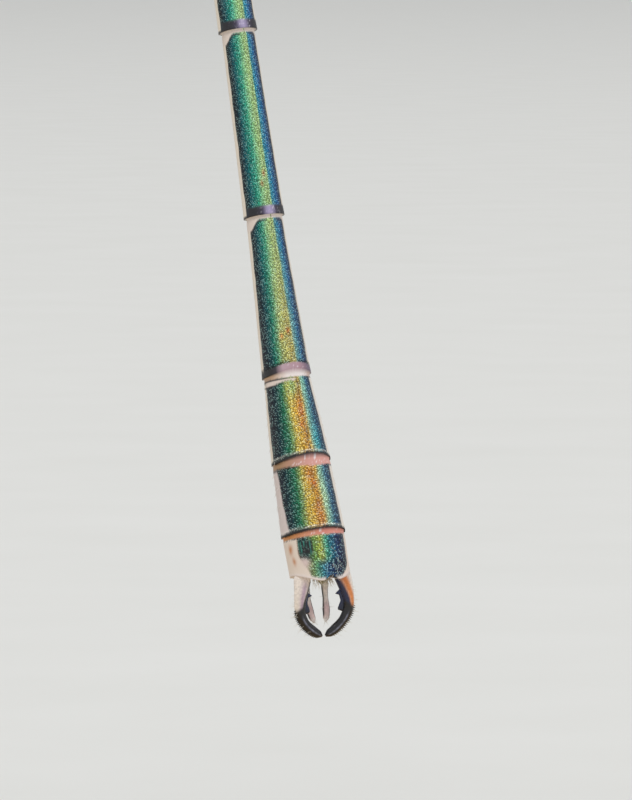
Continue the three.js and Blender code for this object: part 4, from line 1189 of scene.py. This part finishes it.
# %% Legs
CAD_FOOT_FROM_AXIS, FOOT_END, FOOT_STEPS = 1.55, 1.18, 40
FOOT_FROM_AXIS = ([0, 0.35, 0.9, FOOT_END], [CAD_FOOT_FROM_AXIS, 1.3, 1.12, 1.1])
LEGS = {
    # thigh, shin, ankle up and round, toe up and round, way the knee points
    "fore": (2.7, 2.45, 3.6, 62, 4.1, 105, (1, 0, -0.42)),
    "mid": (3.3, 3.0, 0.2, 60, 0.1, 115, (1, -0.15, -0.12)),
    "hind": (4.3, 4.0, -3.8, 55, -4.4, 105, (1, -0.1, -0.1)),
}
THIGH, SHIN = ([0.17, 0.18, 0.15, 0.12], 7), ([0.115, 0.115, 0.1, 0.09], 8)  # radii, bristles in a row
LEG_COLOURS = [(0, "#d9c49c"), (0.5, "#e2d2b0"), (0.9, "#cdb58c"), (1, "#5a4630")]
LIMB_STEPS, LIMB_SIDES, BRISTLE, BRISTLE_RADIUS = 40, 20, 0.42, 0.02


def knee_point(hip, ankle, upper, lower, pole):
    """Where thigh and shin meet, bent towards the pole."""
    reach, way = np.linalg.norm(ankle - hip), unit(ankle - hip)
    along = (upper**2 - lower**2 + reach**2) / (2 * reach)
    return hip + way * along + unit(pole - way * (pole @ way)) * math.sqrt(max(upper**2 - along**2, 0))


def limb(start, end, radii, count, outward):
    """A straight length of leg with its bristles, painted cream with a black outer line."""
    steps = np.linspace(0, 1, LIMB_STEPS)
    widths = np.interp(steps, np.linspace(0, 1, len(radii)), radii)
    shape = tube(start + (end - start) * steps[:, None], widths, LIMB_SIDES, up=outward)
    coat = Coat(ramp(shape["tags"]["share"][:, 0], LEG_COLOURS))
    coat.tint("#120e0b", eased(np.cos(shape["tags"]["round"][:, 0]), 0.45, 0.7))
    shape["tags"] = {"paint": coat.colour}
    way = unit(end - start)
    inward = -unit(outward - way * (outward @ way))
    at, made = np.linspace(0.12, 0.95, count), [shape]
    for lean in (-1, 1):
        aim = inward * 0.75 + np.cross(way, inward) * 0.65 * lean + way * 0.75
        roots = start + (end - start) * at[:, None] + aim * 0.06
        bristles = hairs(roots, np.tile(aim, (count, 1)), BRISTLE, BRISTLE_RADIUS, bend=0.12)
        made.append(coloured(bristles, "#0d0b09"))
    return made


def leg(name, word, side):
    """One leg, from its hip on the thorax to two claws on the stem."""
    upper, lower, ankle_up, ankle_round, toe_up, toe_round, pole = LEGS[name]
    into_thorax = np.linalg.inv(THORAX)
    t = np.linspace(0, FOOT_END, FOOT_STEPS)
    up, around = ankle_up + (toe_up - ankle_up) * t, side * (ankle_round + (toe_round - ankle_round) * t)
    foot = placed(beside_stem(up, around, np.interp(t, *FOOT_FROM_AXIS)), into_thorax)
    mirror = np.array([side, 1, 1])
    hip, heel, pole = HIPS[name] * mirror, foot[0], pole * mirror
    knee = knee_point(hip, heel, upper, lower, pole)
    parts = limb(hip, knee, *THIGH, pole) + limb(knee, heel, *SHIN, pole)
    parts.append(coloured(ball(knee, (0.13, 0.13, 0.13), 20, 12), "#241b14"))
    parts.append(coloured(ball(heel, (0.1, 0.1, 0.1), 16, 10), "#241b14"))
    # the foot narrows at each of its joints
    width = 0.075 - 0.02 * (np.abs((t * 3 / FOOT_END) % 1 - 0.02) < 0.06)
    parts.append(coloured(tube(foot, width, 16), "#2a2019"))
    end, way = foot[-1], unit(foot[-1] - foot[-3])
    inward = unit(placed(beside_stem(toe_up, side * toe_round, 0.0), into_thorax) - end)
    for lean in (-1, 1):
        spread = np.cross(way, inward) * lean
        hook = [end, end + 0.13 * way + 0.07 * spread, end + 0.22 * way + 0.1 * spread + 0.1 * inward]
        parts.append(coloured(tube(curve_through(hook, 10), np.linspace(0.035, 0.008, 10), 8), "#120c08"))
    nodes = [f"{name}_{part}_{word}" for part in ("femur", "tibia", "tarsus")]
    piece(f"{word}_{name}_leg", merged(parts), THORAX, horn, nodes)


for name in LEGS:
    for word, side in BOTH.items():
        leg(name, word, side)

# %% [markdown]
# ## Wings
# The wings are clear film stretched between dark veins, narrow like a stalk at the root. Two thirds of the
# way along the front the sub-front vein ends in a notch, and near the tip sits the long pale-brown cell that
# weights the wing. Veins are drawn at 0.07 to 0.11 mm, about as thick as the real ones at their widest.

# %% Wing shape
WINGS = {"forewing": (21.0, 60, 25, 24), "hindwing": (20.0, 46, 7, 20)}  # length, sweep, rise, turn
WING_OFF_ROOT = 0.45
WING_EDGES = [
    # share of the length, front edge, rear edge
    (0.0, 0.3, 0.3), (0.06, 0.36, 0.36), (0.16, 0.44, 0.5), (0.26, 0.58, 1.0), (0.38, 0.72, 1.75),
    (0.52, 0.9, 2.5), (0.66, 0.98, 2.95), (0.78, 0.86, 2.95), (0.88, 0.5, 2.5), (0.95, -0.05, 1.85),
    (0.985, -0.6, 1.3), (1.0, -0.9, 1.0),
]
PLEAT_DEPTH, PLEATS = 0.05, 22
FILM_HALF_THICK, FILM_GRID = 0.012, (150, 40)


def on_blade(length, share, across):
    """Blade points of a share of the length and a place from the rear to the front edge."""
    share, across = np.asarray(share, float), np.asarray(across, float)
    _, front, rear = at_stations(WING_EDGES, share.ravel()).T
    y = -rear + (front + rear) * across.ravel()
    fold = PLEAT_DEPTH * np.sin(across.ravel() * PLEATS) * eased(share.ravel(), 0.05, 0.3)
    return np.stack([share.ravel() * length, y, fold], -1).reshape(*share.shape, 3)


def slab(face, half):
    """A thin slab round a grid of blade points."""
    return loft(np.concatenate([face + [0, 0, half], face[:, ::-1] - [0, 0, half]], 1))


def film_shape(length):
    """The film of one wing, a thin pleated slab."""
    grid = np.meshgrid(*(np.linspace(0, 1, count) for count in FILM_GRID), indexing="ij")
    return slab(on_blade(length, *grid), FILM_HALF_THICK)


def wing_place(name, side):
    """The wing's frame: the span, the chord from rear to front, and the way up through the blade."""
    _, sweep, rise, turn = WINGS[name]
    s, r, t = (math.radians(v) for v in (sweep, rise, turn))
    span = np.array([side * math.sin(s) * math.cos(r), -math.sin(r), -math.cos(s) * math.cos(r)])
    forward = unit(np.array([0, 0, 1.0]) - span * span[2])
    upward = np.array([0, -1.0, 0]) + span * span[1]
    upward = unit(upward - forward * (upward @ forward))
    chord = forward * math.cos(t) + upward * math.sin(t)
    out, above, along = WING_ROOTS[name]
    made = np.eye(4)
    made[:3, :3] = np.stack([span, chord, np.cross(span, chord)], 1)
    made[:3, 3] = np.array([side * out, -above, along]) + span * WING_OFF_ROOT
    return THORAX @ made


print("forewing tip in mm:", placed([WINGS["forewing"][0], 0, 0], wing_place("forewing", 1)).round(1))

# %% [markdown]
# Twelve long veins run out from the root. Cross veins join each pair of neighbours, closer together towards
# the tip, where they part the film into hundreds of small cells.

# %% Veins
LONG_VEINS = [
    # each a row of (share of the length, place from the rear edge at 0 to the front edge at 1)
    [(0.0, 0.97), (0.3, 0.985), (0.7, 0.985), (0.995, 0.9)],
    [(0.0, 0.84), (0.2, 0.85), (0.3, 0.9), (0.38, 0.975)],
    [(0.0, 0.72), (0.2, 0.74), (0.5, 0.87), (0.82, 0.88), (0.93, 0.95)],
    [(0.18, 0.66), (0.4, 0.74), (0.7, 0.79), (0.985, 0.66)],
    [(0.5, 0.68), (0.75, 0.69), (0.98, 0.42)],
    [(0.4, 0.64), (0.7, 0.59), (0.95, 0.16)],
    [(0.24, 0.6), (0.5, 0.53), (0.75, 0.42), (0.9, 0.06)],
    [(0.22, 0.52), (0.45, 0.42), (0.7, 0.25), (0.82, 0.03)],
    [(0.16, 0.46), (0.4, 0.32), (0.6, 0.14), (0.7, 0.02)],
    [(0.1, 0.34), (0.3, 0.28), (0.48, 0.12), (0.57, 0.02)],
    [(0.0, 0.3), (0.14, 0.22), (0.24, 0.2), (0.35, 0.1), (0.42, 0.02)],
    [(0.0, 0.03), (0.3, 0.015), (0.7, 0.015), (0.995, 0.1)],
]
STOUT_VEINS, STOUT, SLENDER, CROSS = (0, 2), 0.055, 0.036, 0.022
STIGMA_SHARES, STIGMA_ACROSS, STIGMA_HALF_THICK = (0.82, 0.9, 20), (0.885, 0.98, 8), 0.05
CROSS_STEP_MM, VEIN_STEPS, LINE_SCALE = 0.42, 90, 20
STALK, STALK_RADII, STALK_APART = (-0.6, 0.9, 16), ([-0.6, -0.1, 0.4, 0.9], [0.16, 0.13, 0.07, 0.03]), 0.12


def long_veins(length):
    """The long veins, each thinner towards its end."""
    made = []
    for k, line in enumerate(LONG_VEINS):
        share, across = np.array(line).T
        fine = curve_through(np.column_stack([share * LINE_SCALE, across, across * 0]), VEIN_STEPS)
        radii = (STOUT if k in STOUT_VEINS else SLENDER) * np.linspace(1, 0.6, VEIN_STEPS)
        made.append(tube(on_blade(length, fine[:, 0] / LINE_SCALE, fine[:, 1]), radii, 8, up=(0, 0, 1)))
    return made


def cross_veins(length):
    """Short veins between neighbouring long ones, fewer in the inner half of the wing."""
    made, steps = [], int(length / CROSS_STEP_MM)
    for k in range(3, steps):
        share = k / steps
        lines = [np.array(line).T for line in LONG_VEINS]
        present = [line for line in lines if line[0, 0] <= share <= line[0, -1]]
        crossed = sorted(float(np.interp(share, *line)) for line in present)
        for i, (low, high) in enumerate(zip(crossed, crossed[1:])):
            if high - low < 0.02 or (k + i) % 2 and share < 0.5:
                continue
            shift = 0.35 * ((i % 2) - 0.5) * CROSS_STEP_MM / length
            path = on_blade(length, np.full(4, min(share + shift, 0.995)), np.linspace(low, high, 4))
            made.append(tube(path, CROSS, 6, up=(0, 0, 1)))
    return made


def vein_shape(length):
    """All the veins of one wing, its stalk and its pale-brown cell."""
    along = np.linspace(*STALK)
    taper = np.interp(along, *STALK_RADII)
    stalks = [tube(np.column_stack([along, 0 * along + apart, 0 * along]), taper, 16)
              for apart in (-STALK_APART, STALK_APART)]
    veins = coloured(merged(stalks + long_veins(length) + cross_veins(length)), "#1b1410")
    grid = np.meshgrid(np.linspace(*STIGMA_SHARES), np.linspace(*STIGMA_ACROSS), indexing="ij")
    cell = slab(on_blade(length, *grid), STIGMA_HALF_THICK)
    return merged([veins, coloured(cell, "#b78f5e")])


def film_material():
    """Clear chitin: nearly all light goes through, and what comes back is a sharp sheen."""
    made, tree = new_material("clear_chitin_film")
    surfaced(tree, Base_Color=(*linear("#dfe2d6"), 1), Roughness=0.12, IOR=CHITIN_IOR, Alpha=0.2)
    return made


film = film_material()
for name, (length, *_) in WINGS.items():
    for word, side in BOTH.items():
        place = wing_place(name, side)
        piece(f"{word}_{name}_film", film_shape(length), place, film, [f"{name}_{word}"])
        piece(f"{word}_{name}_veins", vein_shape(length), place, horn)

# %% [markdown]
# ## Rush stem and stand
# The perch is a cut length of soft rush: round, green and finely ribbed, with white pith at the cut. A thin
# steel rod carries it on a small block of oiled ash, kept plain so that the insect is what one sees.

# %% Stem
STEM_ABOVE, STEM_BELOW, STEM_RIBS, RIB_HEIGHT = 9.5, 21.0, 30, 0.012
STEM_STEPS, STEM_SIDES = 160, 240
TOP_RADIUS, CUT_BELOW_TOP = 0.94, 0.01
PITH = [
    # share of the radius, depth below the cut, whiteness
    (0.86, 0.0, 0.5), (0.82, 0.04, 1), (0.5, 0.06, 1), (0.2, 0.05, 1),
]
STEM_GREENS = [(0, "#55742f"), (0.6, "#7f9a4a"), (1, "#93a85a")]


def stem_shape():
    """A ribbed stem that tapers upwards, cut level at the foot and square at the top."""
    low_steps = np.linspace(-STEM_BELOW, STEM_ABOVE - 0.12, STEM_STEPS)
    up = np.concatenate([low_steps, [STEM_ABOVE - 0.05, STEM_ABOVE - CUT_BELOW_TOP]])
    around = np.linspace(0, 360, STEM_SIDES, endpoint=False)
    share = (up + STEM_BELOW) / (STEM_BELOW + STEM_ABOVE)
    ribs = np.cos(STEM_RIBS * np.radians(around))
    radius = STEM_RADIUS * (1.06 - 0.12 * share)[:, None] * (1 + RIB_HEIGHT * ribs)[None, :]
    radius[-2:] *= [[0.985], [0.95]]
    rings = beside_stem(np.repeat(up[:, None], STEM_SIDES, 1), around[None, :], radius)
    level = beside_stem(-STEM_BELOW, 0.0, 0.0)[2]
    rings[0] -= ((rings[0][:, 2] - level) / STEM_AXIS[2])[:, None] * STEM_AXIS
    cut = [beside_stem(np.full(STEM_SIDES, STEM_ABOVE - CUT_BELOW_TOP - lower), around, TOP_RADIUS * inset)
           for inset, lower, _ in PITH]
    white = np.concatenate([np.zeros(len(up)), [whiteness for *_, whiteness in PITH]])
    coat = Coat(ramp(np.tile(0.5 + 0.5 * ribs, (len(white), 1)), STEM_GREENS))
    coat.tint("#e8e4cc", np.repeat(white[:, None], STEM_SIDES, 1))
    return loft(np.concatenate([rings, cut]), tags={"paint": coat.colour})


# a waxy plant skin: a soft sheen over fine bumps
rush_skin = painted_material("rush_epidermis_waxy", 0.42, 0.02, 0.35, coat=0.1, ior=1.45)
piece("rush_stem", stem_shape(), np.eye(4), rush_skin, ["perch_stem"])

# %% [markdown]
# The base is sawn from ash with the grain along it, its top edge eased with a small chamfer, and oiled. The
# rod is drawn steel, brushed round its axis.

# %% Materials of the stand


def wood_material():
    """Oiled ash: pale and darker streaks along the grain, with fine dark pores that break up a dull sheen."""
    made, tree = new_material("oiled_ash_wood")
    streaks = ranged(tree, noise(tree, 4.0, stretch=(60, 700, 700)), 0.35, 0.65)
    pores = noise(tree, 2.0, stretch=(500, 9000, 9000))
    grain = blend(tree, streaks, "#cdb083", "#dfc8a2")
    colour = scaled(tree, grain, ranged(tree, pores, 0.3, 0.45, 0.78, 1.0))
    surfaced(tree, Base_Color=colour, Roughness=0.55, IOR=1.5, Normal=bumped(tree, pores, 0.4, 0.02))
    return made


def steel_material():
    """Brushed steel: fine marks round the rod spread its highlight along it."""
    made, tree = new_material("brushed_steel")
    brush = ranged(tree, noise(tree, 1.0, stretch=(600, 600, 12000)), 0.3, 0.7, 0.25, 0.4)
    surfaced(tree, Base_Color=(*linear("#b9bcc0"), 1), Metallic=1.0, Roughness=brush)
    return made


wood, steel = wood_material(), steel_material()
print("materials:", len(bpy.data.materials))

# %% Base and rod
BASE_WIDE, BASE_DEEP, BASE_TALL = 38.0, 27.0, 3.0
BASE_CORNER, CORNER_STEPS, CHAMFER = 5.0, 24, 0.5
ROD_RADIUS, ROD_SIDES, ROD_IN_BASE, ROD_IN_STEM = 0.8, 64, 0.1, 0.05
BASE_LEVELS = [
    # inset from the edge, height: a softened foot, and a chamfer with soft ends at the top
    (0.2, 0), (0.05, 0.05), (0, 0.2), (0, BASE_TALL - CHAMFER - 0.04), (0.03, BASE_TALL - CHAMFER + 0.02),
    (CHAMFER - 0.03, BASE_TALL - 0.02), (CHAMFER + 0.05, BASE_TALL), (BASE_CORNER - 0.1, BASE_TALL),
]


def base_ring(inset, height):
    """Points round a rectangle with round corners."""
    quarter, ring = np.linspace(0, np.pi / 2, CORNER_STEPS), []
    for k, (sx, sy) in enumerate(((1, 1), (-1, 1), (-1, -1), (1, -1))):
        a = quarter + k * np.pi / 2
        centre = np.array([sx * (BASE_WIDE / 2 - BASE_CORNER), sy * (BASE_DEEP / 2 - BASE_CORNER)])
        ring.append(centre + (BASE_CORNER - inset) * np.stack([np.cos(a), np.sin(a)], -1))
    return np.column_stack([np.vstack(ring), np.full(4 * CORNER_STEPS, height)])


def rod_shape():
    """The steel rod, from inside the base to inside the stem."""
    foot = beside_stem(-STEM_BELOW, 0.0, 0.0)
    turn = round_angles(ROD_SIDES)
    circle = foot[:2] + ROD_RADIUS * np.column_stack([np.cos(turn), np.sin(turn)])
    ends = (BASE_TALL - ROD_IN_BASE, foot[2] + ROD_IN_STEM)
    return loft(np.array([np.column_stack([circle, np.full(ROD_SIDES, z)]) for z in ends]))


base = loft(np.array([base_ring(*level) for level in BASE_LEVELS]))
piece("wooden_base", base, np.eye(4), wood, ["stand_base"])
piece("steel_rod", rod_shape(), np.eye(4), steel, ["stand_rod"])

# %% [markdown]
# ## Floor, light and camera
# The insect stands in a plain studio: a pale floor that runs far back, a bright even surround, and two large
# soft lamps. The camera looks slightly down from the insect's left, as in the photo, with a long lens, so the
# tail keeps its proportions.

# %% Studio
FLOOR_SIZE, FLOOR_GRID, SURROUND = 8, 8, 0.75
floor_material, tree = new_material("matt_studio_paper")
# paper: no sheen at all, and a mottle that is only just there
mottle = node(tree, "ShaderNodeTexNoise", None, Scale=900.0, Detail=3.0).outputs[0]
surfaced(tree, Base_Color=blend(tree, mottle, "#e4e3de", "#eae9e5"), Roughness=0.9)
bpy.ops.mesh.primitive_grid_add(x_subdivisions=FLOOR_GRID, y_subdivisions=FLOOR_GRID, size=FLOOR_SIZE)
floor = bpy.context.object
floor.name = "studio_floor"
floor.data.materials.append(floor_material)

world = bpy.data.worlds.new("studio_surround")
world.use_nodes = True
surround = world.node_tree.nodes["Background"].inputs
surround["Color"].default_value = (*linear("#eef0f2"), 1)
surround["Strength"].default_value = SURROUND
bpy.context.scene.world = world
print("floor in metres:", FLOOR_SIZE)

# %% Lamps
LAMPS = {
    # azimuth, elevation, size in metres, watts
    "key_softbox": (-30, 55, 1.3, 20),
    "fill_softbox": (60, 30, 1.6, 6),
}
LAMP_DISTANCE, LAMP_AIM = 2.5, (0, 0, 0.02)


def direction(azimuth, elevation):
    """Unit vector towards a place seen from the insect; azimuth 0 is in front of its back."""
    a, e = math.radians(azimuth), math.radians(elevation)
    return np.array([math.sin(a) * math.cos(e), -math.cos(a) * math.cos(e), math.sin(e)])


def seen_from(name, data, place, way):
    """A lamp or camera at a place, turned to look back along the way."""
    made = bpy.data.objects.new(name, data)
    bpy.context.scene.collection.objects.link(made)
    made.location = place
    made.rotation_mode = "QUATERNION"
    made.rotation_quaternion = (-Vector(way)).to_track_quat("-Z", "Y")
    return made


for name, (azimuth, elevation, size, watts) in LAMPS.items():
    data = bpy.data.lights.new(name, "AREA")
    data.shape, data.size, data.energy = "DISK", size, watts
    way = direction(azimuth, elevation)
    seen_from(name, data, np.array(LAMP_AIM) + way * LAMP_DISTANCE, way)
print("lamps:", list(LAMPS))

# %% Camera
AIM_ABOVE_TIP, AIM_LEFT = 4.91, 0.28
VIEW_AZIMUTH, VIEW_ELEVATION = -22.0, 4.0
LENS, SENSOR, FRAME_TALL = 300.0, 36.0, 17.15
NEAR, FAR = 0.005, 50

back_way = direction(VIEW_AZIMUTH, VIEW_ELEVATION)
right_way = np.array([math.cos(math.radians(VIEW_AZIMUTH)), math.sin(math.radians(VIEW_AZIMUTH)), 0])
up_way = np.cross(back_way, right_way)
aim = placed([0, 0, -FORCEPS_DROP], TAIL) + AIM_ABOVE_TIP * up_way - AIM_LEFT * right_way
camera_data = bpy.data.cameras.new("photo_camera")
camera_data.lens, camera_data.sensor_width = LENS, SENSOR
camera_data.clip_start, camera_data.clip_end = NEAR, FAR
camera = seen_from("photo_camera", camera_data, (aim + back_way * FRAME_TALL * LENS / SENSOR) * MM, back_way)
bpy.context.scene.camera = camera
bpy.context.scene.view_settings.view_transform = "Standard"
print("camera height above the floor in mm:", round(camera.location.z / MM, 1))

# %% Finish
bpy.context.view_layer.update()
